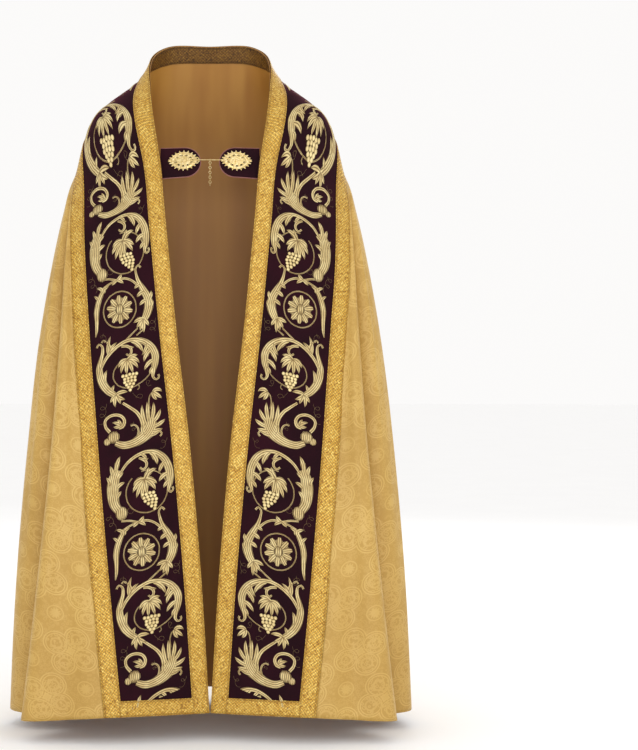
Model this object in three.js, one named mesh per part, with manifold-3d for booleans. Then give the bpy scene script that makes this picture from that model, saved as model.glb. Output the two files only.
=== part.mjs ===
// A cope: a floor-length open cloak of damask, with a velvet band (orphrey) down both front edges
// and round the neck, a velvet hood on the back, gold galloons, a fringe and a clasp at the chest.
// It has the hollow form that it takes when it is worn.
// Millimetres. +Z is up, the front is -Y, and the origin is the middle of the neck.
import * as THREE from "three";
import { mergeVertices } from "three/addons/utils/BufferGeometryUtils.js";
import Module from "manifold-3d";

const wasm = await Module();
wasm.setup();

// ---- Driving sizes ---------------------------------------------------------------------------
const BAND_WIDTH = 220; // the orphrey with both galloons
const INNER_GALLOON = 36;
const OUTER_GALLOON = 35;
const YOKE_GALLOON = 36;
const NECK_REACH = 197; // how far the galloon inside the neck runs to each side of the middle back
const SEAM_GAP = 0.3;
const CLOAK_GAP = 1.5; // the cloak's wall turns up beside the band, so its edge stands off further
const CLOTH = 1.5; // damask, and velvet with its backing
const LINING = 1;
const BRAID = 1.2; // a galloon's thickness
const SHOULDER_ALONG = 377; // the band's outer edge from the middle of the back to the shoulder
const OUTER_LENGTH = 1510; // the band's outer edge from the middle of the back to the hem
const FRONT_DROP = 42; // how much longer the band's inner edge is, as the hem cuts it on a slant
const CORNER = 0.38; // share of a ring that hangs from the shoulder corner

const HOOD_HALF_WIDTH = 285;
const HOOD_DROP = 428;
const HOOD_CORNER = 95;
const HOOD_GALLOON = 34;
const FRINGE_SIDE = 27;
const FRINGE_FOOT = 40;
const FALL_LENGTH = 1220; // down the middle of the back, from the band to the hem

const TAB_LENGTH = 84;
const TAB_HALF_HEIGHT = 33;
const TAB_ALONG = 437; // where the tab's middle leaves the band's inner edge
const MEDALLION_LENGTH = 56;
const MEDALLION_HEIGHT = 42;
const MEDALLION_THICKNESS = 2.4;
const WIRE = 0.8; // radius of the clasp's wire
const CHAIN_LINKS = 11;
const LINK_RADIUS = 2.6;
const LINK_WIRE = 0.6;

// ---- Tables ----------------------------------------------------------------------------------
const table = (columns, rows) => {
  const names = columns.split(" ");
  return rows.map((row) => Object.fromEntries(names.map((name, i) => [name, row[i]])));
};

// The band's cross lines on the right half: its inner edge, middle and outer edge at each distance
// along it, measured from the middle of the back.
const BAND = table("along inner_x inner_y inner_z mid_x mid_y mid_z outer_x outer_y outer_z", [
  [0, 0, 75, 52, 0, 124, -47, 0, 168, -150],
  [85, 87, 70, 50.5, 87, 119, -53, 84, 163, -152],
  [140, 119, 36, 25, 134, 98, -61, 140, 150, -157],
  [184, 126, 0, -5, 164, 68, -66, 176, 130, -162],
  [235, 124.5, -30, -42, 192, 35, -70, 215, 100, -166],
  [286, 121, -60, -82, 214, 0, -84, 246, 66, -174],
  [360, 112, -93, -150, 222, -50, -122, 274, 14, -212],
  [432, 101, -120, -214, 200, -85, -240, 285, -28, -278],
  [550, 90, -135, -330, 191, -114, -355, 286, -74, -384],
  [773, 68.5, -145, -552, 172, -138, -576, 273, -118, -602],
  [1023, 40, -150, -800, 148, -158, -824, 255, -155, -849],
  [1254, 20, -160, -1030, 127, -175, -1053, 235, -182, -1077],
  [1552, 1.5, -170, -1327, 102, -195, -1349, 203, -214, -1371],
]);

// The cloak's rings on the right half: where each meets the band, its side and its middle back.
const RINGS = table("fall along side_x side_y side_z back_y back_z", [
  [0.14, 486, 308, 15, -322, 190, -320],
  [0.33, 721, 349, 5, -551, 210, -548],
  [0.545, 980, 375, 0, -806, 226, -800],
  [0.715, 1185, 391, -5, -1009, 238, -1005],
  [1, 1510, 409, -10, -1348, 255, -1350],
]);
const SIDE_AT = 0.4; // share of a ring from the band to the side
const SQUARENESS = 0.82; // 1 is an ellipse, less is squarer

// The cloak's folds. at is the place on the hem (1 the right front seam, 0 the middle back, -1 the
// left front seam), lean is how far it moves by the shoulder, out is its height at the hem.
const FOLDS = table("at lean out width start growth", [
  [0.815, 0.23, 26, 0.055, 0.05, 0.8], // right front edge fold
  [0.712, 0.23, -104, 0.05, 0.05, 0.9], // tuck behind it
  [0.6, 0.1, 12, 0.05, 0.1, 1], // right side lobe
  [0.372, 0.05, -82, 0.045, 0.16, 1.0], // right back tuck
  [0.29, 0.03, 22, 0.045, 0.2, 1.0], // right back edge fold
  [0.16, 0, -11, 0.05, 0.42, 1.2],
  [0.07, 0, 7, 0.04, 0.5, 1.2],
  [-0.03, 0, -8, 0.05, 0.4, 1.2],
  [-0.13, 0, 8, 0.045, 0.5, 1.1],
  [-0.2, 0, -13, 0.045, 0.38, 1.1],
  [-0.295, -0.03, 20, 0.045, 0.22, 1.0], // left back edge fold
  [-0.38, -0.05, -76, 0.047, 0.16, 1.0], // left back tuck
  [-0.59, -0.1, 10, 0.05, 0.1, 1],
  [-0.705, -0.23, -98, 0.052, 0.05, 0.9], // left tuck
  [-0.81, -0.23, 28, 0.055, 0.05, 0.8], // left front edge fold
  [0.925, 0.03, -9, 0.035, 0.3, 1.2],
  [-0.925, -0.03, -8, 0.038, 0.3, 1.2],
]);

// ---- The form --------------------------------------------------------------------------------
// A smooth curve through values at unevenly spaced stations.
function through(stations, values, at) {
  const last = stations.length - 1;
  let i = 0;
  while (i < last - 1 && at > stations[i + 1]) i++;
  const step = (k) => stations[k + 1] - stations[k];
  const rise = (k) => (values[k + 1] - values[k]) / step(k);
  const slope = (k) => {
    if (k === 0) return rise(0);
    if (k === last) return rise(last - 1);
    return (step(k) * rise(k - 1) + step(k - 1) * rise(k)) / (step(k) + step(k - 1));
  };
  const h = step(i);
  const t = (at - stations[i]) / h;
  const t2 = t * t;
  const t3 = t2 * t;
  return (
    (2 * t3 - 3 * t2 + 1) * values[i] +
    (t3 - 2 * t2 + t) * h * slope(i) +
    (3 * t2 - 2 * t3) * values[i + 1] +
    (t3 - t2) * h * slope(i + 1)
  );
}

// The band's rows with the first one mirrored, so that the curve is level at the middle back.
const mirroredRow = { ...BAND[1], along: -BAND[1].along };
for (const edge of ["inner", "mid", "outer"]) mirroredRow[edge + "_x"] *= -1;
const bandRows = [mirroredRow, ...BAND];
const bandStations = bandRows.map((row) => row.along);
const bandLine = (edge, along) =>
  new THREE.Vector3(
    ...["x", "y", "z"].map((axis) =>
      through(bandStations, bandRows.map((row) => row[`${edge}_${axis}`]), along),
    ),
  );

// A point of the band: along is signed (plus is the right half), across runs from the inner edge.
function bandPoint(along, across) {
  const w = across / BAND_WIDTH;
  const at = Math.abs(along);
  const p = bandLine("inner", at)
    .multiplyScalar((1 - w) * (1 - 2 * w))
    .addScaledVector(bandLine("mid", at), 4 * w * (1 - w))
    .addScaledVector(bandLine("outer", at), w * (2 * w - 1));
  if (along < 0) p.x *= -1;
  return p;
}

const falls = RINGS.map((row) => row.fall);
const seamAlong = (fall) => {
  const stations = [0, ...falls];
  return through(stations, [SHOULDER_ALONG, ...RINGS.map((row) => row.along)], fall);
};

// A ring's point: u runs from the band (0) round the side to the middle of the back (1).
function ringPoint(ring, u) {
  const seam = bandPoint(ring.along, BAND_WIDTH);
  const first = u < SIDE_AT;
  const turn = ((first ? u / SIDE_AT : (u - SIDE_AT) / (1 - SIDE_AT)) * Math.PI) / 2;
  const s = Math.pow(Math.max(Math.sin(turn), 0), SQUARENESS);
  const c = Math.pow(Math.max(Math.cos(turn), 0), SQUARENESS);
  if (first)
    return new THREE.Vector3(
      seam.x + (ring.side_x - seam.x) * s,
      ring.side_y + (seam.y - ring.side_y) * c,
      seam.z + (ring.side_z - seam.z) * Math.sin(turn),
    );
  return new THREE.Vector3(
    ring.side_x * c,
    ring.side_y + (ring.back_y - ring.side_y) * s,
    ring.side_z + (ring.back_z - ring.side_z) * Math.sin(turn),
  );
}

// The cloak without its folds. place is 1 at the right front seam, 0 at the back, -1 at the left.
const ABOVE = 0.09; // how far above the seam, as a share of the fall, the band steers the cloak
const ABOVE_ACROSS = 110;
function plainPoint(place, fall) {
  const u = 1 - Math.abs(place);
  const topAlong = SHOULDER_ALONG * Math.min(1, (1 - u) / (1 - CORNER));
  const rows = [
    bandPoint(topAlong, BAND_WIDTH - ABOVE_ACROSS),
    bandPoint(topAlong, BAND_WIDTH),
    ...RINGS.map((ring) => ringPoint(ring, u)),
  ];
  const stations = [-ABOVE, 0, ...falls];
  const p = new THREE.Vector3(
    ...["x", "y", "z"].map((axis) => through(stations, rows.map((row) => row[axis]), fall)),
  );
  const seamRows = [
    bandPoint(SHOULDER_ALONG, BAND_WIDTH - ABOVE_ACROSS),
    bandPoint(SHOULDER_ALONG, BAND_WIDTH),
    ...RINGS.map((ring) => ringPoint(ring, 0)),
  ];
  const drawn = new THREE.Vector3(
    ...["x", "y", "z"].map((axis) => through(stations, seamRows.map((row) => row[axis]), fall)),
  );
  const toSeam = bandPoint(seamAlong(fall), BAND_WIDTH).sub(drawn);
  p.addScaledVector(toSeam, Math.exp(-Math.pow(u / 0.08, 2)));
  if (place < 0) p.x *= -1;
  return p;
}

function foldHeight(place, fall) {
  let height = 0;
  for (const fold of FOLDS) {
    if (fall <= fold.start) continue;
    const grown = Math.pow((fall - fold.start) / (1 - fold.start), fold.growth);
    const away = (place - fold.at - fold.lean * (1 - fall)) / fold.width;
    height += fold.out * grown * Math.exp(-away * away);
  }
  // the folds die out at the front seams, so that the band stays smooth
  const fromSeam = Math.min(1, (1 - Math.abs(place)) / 0.05);
  return height * fromSeam * fromSeam * (3 - 2 * fromSeam);
}

const STEP = 1e-3;
function cloakPoint(place, fall) {
  const p = plainPoint(place, fall);
  const height = foldHeight(place, fall);
  if (Math.abs(height) < 1e-6) return p;
  const side = plainPoint(place + STEP, fall).sub(plainPoint(place - STEP, fall));
  const down = plainPoint(place, fall + STEP).sub(plainPoint(place, fall - STEP));
  return p.addScaledVector(side.cross(down).normalize(), height);
}

// ---- Sheets ----------------------------------------------------------------------------------
// A sheet is points and four-sided cells. Its points know which way is out.
class Sheet {
  constructor() {
    this.points = [];
    this.cells = [];
  }
  add(p) {
    this.points.push(p);
    return this.points.length - 1;
  }
  face() {
    this.out = this.points.map(() => new THREE.Vector3());
    for (const [a, b, c, d] of this.cells) {
      const [pa, pb, pc, pd] = [a, b, c, d].map((i) => this.points[i]);
      const n = new THREE.Vector3()
        .subVectors(pc, pa)
        .cross(new THREE.Vector3().subVectors(pd, pb));
      for (const i of new Set([a, b, c, d])) this.out[i].add(n);
    }
    this.out.forEach((n) => n.normalize());
  }
}

// A wall from some of a sheet's cells, from low to high above it. shift moves single points
// along the sheet, to leave room at a seam.
function wall(sheet, cells, low, high, shift = new Map()) {
  const used = [...new Set(cells.flat())];
  const number = new Map(used.map((i, n) => [i, n]));
  const positions = [];
  for (const level of [high, low])
    for (const i of used) {
      const p = sheet.points[i].clone().addScaledVector(sheet.out[i], level);
      if (shift.has(i)) p.add(shift.get(i));
      positions.push(p.x, p.y, p.z);
    }
  const index = [];
  const triangle = (a, b, c) => {
    if (a !== b && b !== c && a !== c) index.push(a, b, c);
  };
  const count = used.length;
  const edges = new Map();
  for (const cell of cells) {
    const [a, b, c, d] = cell.map((i) => number.get(i));
    triangle(a, b, c);
    triangle(a, c, d);
    triangle(a + count, c + count, b + count);
    triangle(a + count, d + count, c + count);
    [a, b, c, d].forEach((from, k, all) => {
      const to = all[(k + 1) % 4];
      if (from === to) return;
      if (edges.has(`${to},${from}`)) edges.delete(`${to},${from}`);
      else edges.set(`${from},${to}`, [from, to]);
    });
  }
  for (const [from, to] of edges.values()) {
    triangle(from, from + count, to + count);
    triangle(from, to + count, to);
  }
  const geometry = new THREE.BufferGeometry();
  geometry.setAttribute("position", new THREE.Float32BufferAttribute(positions, 3));
  geometry.setIndex(index);
  return geometry;
}

// ---- The whole cloth: band and cloak welded along their seam -----------------------------------
const BACK_COLUMNS = [0, YOKE_GALLOON / 2, 52, 88, 124, 160, 197, 234, 271, 308, 343, SHOULDER_ALONG];
const CORNER_COLUMNS = 11; // the cloak's columns that hang from each shoulder corner
const FALL_ROWS = [0, 0.06, 0.14, 0.22, 0.3, 0.38, 0.46, 0.54, 0.62, 0.7, 0.78, 0.86, 0.93, 0.972, 1];
const ACROSS = [0, INNER_GALLOON, (INNER_GALLOON + BAND_WIDTH - OUTER_GALLOON) / 2];
ACROSS.push(BAND_WIDTH - OUTER_GALLOON, BAND_WIDTH);

const halfAlongs = [...BACK_COLUMNS, ...FALL_ROWS.slice(1).map(seamAlong)];
const alongs = [...halfAlongs.slice(1).map((a) => -a).reverse(), ...halfAlongs];
// The hem cuts the band on a slant: its inner edge is longer.
const slanted = (along, across) => {
  const reach = Math.abs(along) / OUTER_LENGTH;
  return along + Math.sign(along) * FRONT_DROP * (1 - across / BAND_WIDTH) * Math.pow(reach, 4);
};

const cloth = new Sheet();
const bandIds = alongs.map((along) =>
  ACROSS.map((across) => cloth.add(bandPoint(slanted(along, across), across))),
);
const middle = halfAlongs.length - 1;
const lastAcross = ACROSS.length - 1;
const bandCells = ACROSS.slice(1).map(() => []);
for (let r = 0; r < alongs.length - 1; r++)
  for (let j = 0; j < lastAcross; j++)
    bandCells[j].push([bandIds[r][j], bandIds[r + 1][j], bandIds[r + 1][j + 1], bandIds[r][j + 1]]);

const backPlaces = BACK_COLUMNS.map((along) => ((1 - CORNER) * along) / SHOULDER_ALONG);
const cornerPlaces = Array.from(
  { length: CORNER_COLUMNS },
  (_, i) => 1 - CORNER + (CORNER * (i + 1)) / CORNER_COLUMNS,
);
const halfPlaces = [...backPlaces, ...cornerPlaces];
const places = [...halfPlaces.slice(1).map((p) => -p).reverse(), ...halfPlaces];
const backCount = BACK_COLUMNS.length - 1;
// The columns near the front lean with the fold and the tuck there, so that both stay smooth.
const CREST = 0.185; // the front edge fold and its tuck, as shares of the hem from the band
const TUCK = 0.288;
const LEAN = 0.23;
const CALM = 0.42; // past this share the columns don't lean
function leaned(place, fall) {
  const u = 1 - Math.abs(place);
  const hem = [0, CREST, TUCK, CALM, 1];
  const moved = LEAN * (1 - fall);
  const here = [0, Math.max(0.11, CREST - moved), Math.max(0.2, TUCK - moved), CALM, 1];
  let i = 0;
  while (i < 3 && u > hem[i + 1]) i++;
  const part = (u - hem[i]) / (hem[i + 1] - hem[i]);
  return Math.sign(place) * (1 - here[i] - part * (here[i + 1] - here[i]));
}
const cloakIds = places.map((place) => {
  const side = Math.sign(place);
  return FALL_ROWS.map((fall, k) => {
    if (k === 0) {
      const column = Math.min(halfPlaces.indexOf(Math.abs(place)), backCount);
      return bandIds[middle + side * column][lastAcross];
    }
    if (Math.abs(place) === 1) return bandIds[middle + side * (backCount + k)][lastAcross];
    return cloth.add(cloakPoint(leaned(place, fall), fall));
  });
});
const cloakCells = [];
for (let i = 0; i < places.length - 1; i++)
  for (let k = 0; k < FALL_ROWS.length - 1; k++)
    cloakCells.push([cloakIds[i][k], cloakIds[i + 1][k], cloakIds[i + 1][k + 1], cloakIds[i][k + 1]]);
cloth.cells = [...bandCells.flat(), ...cloakCells];
cloth.face();

// Moves each point on a seam a little towards its neighbour inside the piece.
function drawIn(pairs, gap = SEAM_GAP) {
  const shift = new Map();
  for (const [i, inside] of pairs) {
    const way = new THREE.Vector3().subVectors(cloth.points[inside], cloth.points[i]);
    if (way.length() < 1e-6) continue;
    const move = way.setLength(gap);
    if (shift.has(i)) shift.get(i).add(move);
    else shift.set(i, move);
  }
  return shift;
}

const seamPairs = [];
cloakIds.forEach((column, i) => {
  if (Math.abs(places[i]) <= 1 - CORNER + 1e-9) seamPairs.push([column[0], column[1]]);
  if (i === 0) column.forEach((id, k) => k && seamPairs.push([id, cloakIds[1][k]]));
  if (i === places.length - 1)
    column.forEach((id, k) => k && seamPairs.push([id, cloakIds[i - 1][k]]));
});

// ---- The hood --------------------------------------------------------------------------------
// A point on the cloak's back: round is the distance round the back from its middle, down is the
// distance below the band, lift is the height above the cloak.
const ARC_STEPS = 60;
const arcs = new Map();
function arcAt(fall) {
  const key = fall.toFixed(6);
  if (!arcs.has(key)) {
    const lengths = [0];
    let before = cloakPoint(0, fall);
    for (let i = 1; i <= ARC_STEPS; i++) {
      const p = cloakPoint((0.9 * i) / ARC_STEPS, fall);
      lengths.push(lengths[i - 1] + p.distanceTo(before));
      before = p;
    }
    arcs.set(key, lengths);
  }
  return arcs.get(key);
}
function placeAt(round, fall) {
  const lengths = arcAt(fall);
  const want = Math.abs(round);
  let i = 1;
  while (i < ARC_STEPS && lengths[i] < want) i++;
  const part = (want - lengths[i - 1]) / Math.max(lengths[i] - lengths[i - 1], 1e-6);
  return (Math.sign(round) * 0.9 * (i - 1 + Math.min(part, 1))) / ARC_STEPS;
}
const HOOD_LIFT = 6.5;
const HOOD_ROOT = 2.2;
const BORDER_CLEAR = 3; // between the hood's facets and its border's
function hoodPoint(round, down, lift) {
  const fall = Math.max(down, 1) / FALL_LENGTH;
  const place = placeAt(round, fall);
  const p = cloakPoint(place, fall);
  const side = cloakPoint(place + STEP, fall).sub(cloakPoint(place - STEP, fall));
  const below = cloakPoint(place, fall + STEP).sub(cloakPoint(place, fall - STEP));
  const grown = Math.min(1, Math.max(down, 0) / 70);
  const rest = HOOD_ROOT + (HOOD_LIFT - HOOD_ROOT) * grown * (2 - grown);
  return p.addScaledVector(side.cross(below).normalize(), rest + lift);
}

// How far the hood's outline is from its middle at a distance down, for an outline that is
// larger by extra all round.
function hoodHalfWidth(down, extraSide = 0, extraFoot = 0) {
  const corner = HOOD_CORNER + (extraSide + extraFoot) / 2;
  const foot = HOOD_DROP + extraFoot;
  const into = Math.max(0, down - (foot - corner)) / corner;
  const rounded = corner * (1 - Math.sqrt(Math.max(0, 1 - into * into)));
  return HOOD_HALF_WIDTH + extraSide - rounded;
}

const HOOD_TOP = 1.5; // the hood starts just below the band
const HOOD_ROWS = [HOOD_TOP, 28, 70, 125, 180, 235, 290, 333, 362, 388, 408, 421, HOOD_DROP];
const HOOD_COLUMNS = 18;
const hoodSheet = new Sheet();
const hoodIds = Array.from({ length: HOOD_COLUMNS + 1 }, (_, i) =>
  HOOD_ROWS.map((down) => {
    const round = hoodHalfWidth(down) * ((2 * i) / HOOD_COLUMNS - 1);
    return hoodSheet.add(hoodPoint(round, down, 0));
  }),
);
for (let i = 0; i < HOOD_COLUMNS; i++)
  for (let k = 0; k < HOOD_ROWS.length - 1; k++)
    hoodSheet.cells.push([hoodIds[i][k], hoodIds[i + 1][k], hoodIds[i + 1][k + 1], hoodIds[i][k + 1]]);
hoodSheet.face();

// The hood's border outline from the left top corner round the foot to the right top corner:
// [round, down] for an outline larger by the given amounts.
const SIDE_STEPS = 7;
const CORNER_STEPS = 6;
const FOOT_STEPS = 9;
function hoodOutline(extraSide, extraFoot, top) {
  const corner = HOOD_CORNER + (extraSide + extraFoot) / 2;
  const half = HOOD_HALF_WIDTH + extraSide;
  const foot = HOOD_DROP + extraFoot;
  const left = [];
  for (let i = 0; i < SIDE_STEPS; i++)
    left.push([-half, top + ((foot - corner - top) * i) / SIDE_STEPS]);
  for (let i = 0; i < CORNER_STEPS; i++) {
    const turn = ((Math.PI / 2) * i) / CORNER_STEPS;
    left.push([-half + corner * (1 - Math.cos(turn)), foot - corner + corner * Math.sin(turn)]);
  }
  const middleRun = [];
  for (let i = 0; i <= FOOT_STEPS; i++)
    middleRun.push([(half - corner) * ((2 * i) / FOOT_STEPS - 1), foot]);
  const right = left.map(([round, down]) => [-round, down]).reverse();
  return [...left, ...middleRun, ...right];
}

// A strip between two such outlines, lifted above the hood.
function borderStrip(outer, inner, lift) {
  const sheet = new Sheet();
  const ids = outer.map((far, i) =>
    [inner[i], far].map(([round, down]) => sheet.add(hoodPoint(round, down, lift))),
  );
  for (let i = 0; i < ids.length - 1; i++)
    sheet.cells.push([ids[i][0], ids[i + 1][0], ids[i + 1][1], ids[i][1]]);
  sheet.face();
  return sheet;
}

// ---- The clasp -------------------------------------------------------------------------------
// The right tab's own frame: x towards the middle of the chest, y up, z out of its face.
const tabRoot = bandPoint(TAB_ALONG, 3);
const tabInward = new THREE.Vector3(-1, -0.16, 0).normalize();
const edgeUp = bandPoint(TAB_ALONG - 32, 0).sub(bandPoint(TAB_ALONG + 32, 0));
const tabOut = new THREE.Vector3().crossVectors(edgeUp, tabInward).normalize();
const tabUp = new THREE.Vector3().crossVectors(tabInward, tabOut).normalize();
tabRoot.addScaledVector(tabOut, -9);
const tabFrame = new THREE.Matrix4().makeBasis(tabInward, tabUp, tabOut).setPosition(tabRoot);

// Places a geometry, and turns its faces round where the placing mirrors it.
function placed(geometry, matrix) {
  const copy = geometry.clone().applyMatrix4(matrix);
  if (matrix.determinant() > 0) return copy;
  const { array } = copy.index;
  for (let i = 0; i < array.length; i += 3)
    [array[i + 1], array[i + 2]] = [array[i + 2], array[i + 1]];
  return copy;
}
const mirrored = (geometry) => placed(geometry, new THREE.Matrix4().makeScale(-1, 1, 1));
const merged = (geometry) => {
  geometry.deleteAttribute("normal");
  geometry.deleteAttribute("uv");
  return mergeVertices(geometry, 1e-4);
};

function tabGeometry() {
  const shape = new THREE.Shape();
  const straight = TAB_LENGTH - TAB_HALF_HEIGHT;
  shape.moveTo(0, -TAB_HALF_HEIGHT);
  shape.lineTo(straight, -TAB_HALF_HEIGHT + 3);
  shape.absellipse(straight, 0, TAB_HALF_HEIGHT, TAB_HALF_HEIGHT - 3, -Math.PI / 2, Math.PI / 2, false, 0);
  shape.lineTo(0, TAB_HALF_HEIGHT);
  const geometry = new THREE.ExtrudeGeometry(shape, { depth: 2, bevelEnabled: false, curveSegments: 12 });
  return placed(merged(geometry), tabFrame);
}

// A leaf-shaped plate with a toothed rim, pointed at both ends. Its middle is at x = 0.
const TEETH = 9; // on each half of the rim
function medallionShape() {
  const shape = new THREE.Shape();
  const half = MEDALLION_LENGTH / 2;
  const side = (sign) => {
    const points = [];
    for (let i = 0; i <= 2 * TEETH; i++) {
      const t = i / (2 * TEETH);
      const tooth = i % 2 === 1 ? 1 : 0.88;
      const rise = (MEDALLION_HEIGHT / 2) * Math.pow(Math.sin(Math.PI * t), 1.25) * tooth;
      points.push([sign * half * (1 - 2 * t), sign * rise]);
    }
    return points;
  };
  const rim = [...side(1).slice(0, -1), ...side(-1).slice(0, -1)];
  rim.forEach(([x, y], i) => (i ? shape.lineTo(x, y) : shape.moveTo(x, y)));
  return shape;
}
const MEDALLION_AT = 49; // from the tab's root to the medallion's middle
function medallionGeometry() {
  const geometry = new THREE.ExtrudeGeometry(medallionShape(), {
    depth: MEDALLION_THICKNESS,
    bevelEnabled: false,
  });
  geometry.translate(MEDALLION_AT, 5, 2 + SEAM_GAP);
  return placed(merged(geometry), tabFrame);
}

// The clasp's wires. The eye is a ring on the left medallion, the hook reaches to it from the
// right one, and a fine chain hangs from the hook's straight stretch.
const tipLocal = new THREE.Vector3(MEDALLION_AT + MEDALLION_LENGTH / 2, 5, 2 + MEDALLION_THICKNESS / 2);
const tip = tipLocal.clone().applyMatrix4(tabFrame); // the right medallion's inner point
const WIRE_Y = tip.y - 4.5; // the wires pass in front of the tabs' ends
const EYE_RADIUS = 5.5;
const eyeCentre = new THREE.Vector3(-tip.x - 1, WIRE_Y + 1.2, tip.z);

const wirePath = (points) => new THREE.CatmullRomCurve3(points.map((p) => new THREE.Vector3(...p)));
const roundShape = (radius) => new THREE.Shape().absarc(0, 0, radius, 0, 2 * Math.PI, false);
const wireGeometry = (path, radius, steps) =>
  merged(
    new THREE.ExtrudeGeometry(roundShape(radius), { steps, extrudePath: path, curveSegments: 4 }),
  );
const hookGeometry = () =>
  wireGeometry(
    wirePath([
      [tip.x + 4, WIRE_Y, tip.z],
      [tip.x - 4, WIRE_Y - 1, tip.z],
      [4, WIRE_Y - 1.4, tip.z],
      [0, WIRE_Y - 1.4, tip.z],
      [-4, WIRE_Y - 1.4, tip.z],
      [eyeCentre.x + EYE_RADIUS + 1, WIRE_Y - 1.6, tip.z],
      [eyeCentre.x + 1, WIRE_Y + 0.5, tip.z],
      [eyeCentre.x + 1.5, WIRE_Y + 2.4, tip.z],
      [eyeCentre.x + 3.5, WIRE_Y + 3, tip.z],
    ]),
    WIRE,
    22,
  );
const eyeGeometry = () => {
  const ring = new THREE.TorusGeometry(EYE_RADIUS, WIRE, 8, 24);
  ring.rotateX(Math.PI / 2);
  ring.translate(eyeCentre.x, eyeCentre.y, eyeCentre.z);
  return merged(ring);
};

const solidOf = (geometry) =>
  new wasm.Manifold(
    new wasm.Mesh({
      numProp: 3,
      vertProperties: new Float32Array(geometry.attributes.position.array),
      triVerts: new Uint32Array(geometry.index.array),
    }),
  );
const geometryOf = (solid) => {
  const mesh = solid.getMesh();
  const geometry = new THREE.BufferGeometry();
  geometry.setAttribute("position", new THREE.Float32BufferAttribute(mesh.vertProperties, 3));
  geometry.setIndex([...mesh.triVerts]);
  return geometry;
};

// The chain's links overlap a little, because it is one rigid piece here.
const chainTop = new THREE.Vector3(0, WIRE_Y - 1.4, tip.z);
function chainGeometry() {
  const pitch = 2 * LINK_RADIUS - 0.35;
  let solid = null;
  for (let i = 0; i < CHAIN_LINKS; i++) {
    const link = new THREE.TorusGeometry(LINK_RADIUS, LINK_WIRE, 5, 10);
    if (i % 2 === 0) link.rotateY(Math.PI / 2);
    else link.rotateX(Math.PI / 2);
    link.translate(chainTop.x, chainTop.y, chainTop.z - 1.1 - i * pitch);
    const part = solidOf(merged(link));
    solid = solid ? solid.add(part) : part;
  }
  return geometryOf(solid);
}

// ---- Materials and pieces ----------------------------------------------------------------------
const finish = (color, roughness, metalness = 0) =>
  new THREE.MeshStandardMaterial({ color, roughness, metalness, side: THREE.DoubleSide });
const group = new THREE.Group();
function piece(name, geometry, material) {
  const mesh = new THREE.Mesh(geometry, material());
  mesh.name = name;
  group.add(mesh);
}
const damask = () => finish(0xd4a85c, 0.55);
const velvet = () => finish(0x280410, 0.9);
const braid = () => finish(0xe1af4b, 0.5);
const satin = () => finish(0x825c32, 0.6);
const bullion = () => finish(0x96783f, 0.6);
const gilt = () => finish(0xe0c070, 0.3, 1);

const bandTop = CLOTH + SEAM_GAP;
piece("mantle", wall(cloth, cloakCells, 0, CLOTH, drawIn(seamPairs, CLOAK_GAP)), damask);
piece("lining", wall(cloth, cloth.cells, -SEAM_GAP - LINING, -SEAM_GAP), satin);
piece("orphrey", wall(cloth, bandCells.flat(), 0, CLOTH), velvet);
piece("galloon_inner", wall(cloth, bandCells[0], bandTop, bandTop + BRAID), braid);
piece("galloon_outer", wall(cloth, bandCells[lastAcross - 1], bandTop, bandTop + BRAID), braid);

// The foot galloons fill the band's last row between the two long galloons.
for (const [name, row, next] of [
  ["galloon_foot_left", 0, 1],
  ["galloon_foot_right", alongs.length - 1, alongs.length - 2],
]) {
  const first = Math.min(row, next);
  const cells = [1, 2].map((j) => bandCells[j][first]);
  const pairs = [row, next].flatMap((r) => [
    [bandIds[r][1], bandIds[r][2]],
    [bandIds[r][3], bandIds[r][2]],
  ]);
  piece(name, wall(cloth, cells, bandTop, bandTop + BRAID, drawIn(pairs)), braid);
}

// The yoke galloon runs down the middle of the back between the neck and the hood.
const yokeCells = [1, 2].flatMap((j) => [bandCells[j][middle - 1], bandCells[j][middle]]);
const yokePairs = [middle - 1, middle, middle + 1].flatMap((r) => [
  [bandIds[r][1], bandIds[r][2]],
  [bandIds[r][3], bandIds[r][2]],
]);
piece("galloon_yoke", wall(cloth, yokeCells, bandTop, bandTop + BRAID, drawIn(yokePairs)), braid);

// The inner galloon turns over the neck's edge and lies inside it, on the lining.
const neckRows = alongs.slice(0, -1).map((along, r) => [along, alongs[r + 1], r]);
const neckCells = neckRows
  .filter(([from, to]) => Math.abs(from) <= NECK_REACH && Math.abs(to) <= NECK_REACH)
  .map(([, , r]) => bandCells[0][r]);
const neckTop = -2 * SEAM_GAP - LINING;
piece("galloon_neck", wall(cloth, neckCells, neckTop - BRAID, neckTop), braid);

piece("hood", wall(hoodSheet, hoodSheet.cells, 0, CLOTH), velvet);
const hoodRim = hoodOutline(0, 0, HOOD_TOP);
const hoodInside = hoodOutline(-HOOD_GALLOON, -HOOD_GALLOON, HOOD_TOP);
const hoodBorder = borderStrip(hoodRim, hoodInside, CLOTH + BORDER_CLEAR);
piece("galloon_hood", wall(hoodBorder, hoodBorder.cells, 0, BRAID), braid);
const fringeRoot = hoodOutline(1.6, 1.6, 6);
const fringeTips = hoodOutline(FRINGE_SIDE, FRINGE_FOOT, 16);
const fringeSheet = borderStrip(fringeTips, fringeRoot, 0);
piece("fringe", wall(fringeSheet, fringeSheet.cells, -0.8, 2), bullion);

piece("tab_right", tabGeometry(), velvet);
piece("tab_left", mirrored(tabGeometry()), velvet);
piece("medallion_right", medallionGeometry(), gilt);
piece("medallion_left", mirrored(medallionGeometry()), gilt);
piece("hook", hookGeometry(), gilt);
piece("eye", eyeGeometry(), gilt);
piece("chain", chainGeometry(), gilt);

export default group;
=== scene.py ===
# A cope: the cloak, its lining, velvet band and hood, galloons, embroidery, fringe and clasp.
# Sizes are in millimetres, and a piece is turned into metres as it is made.
import math
import random

import bmesh
import bpy
import numpy as np
from mathutils import Matrix, Vector


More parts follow.
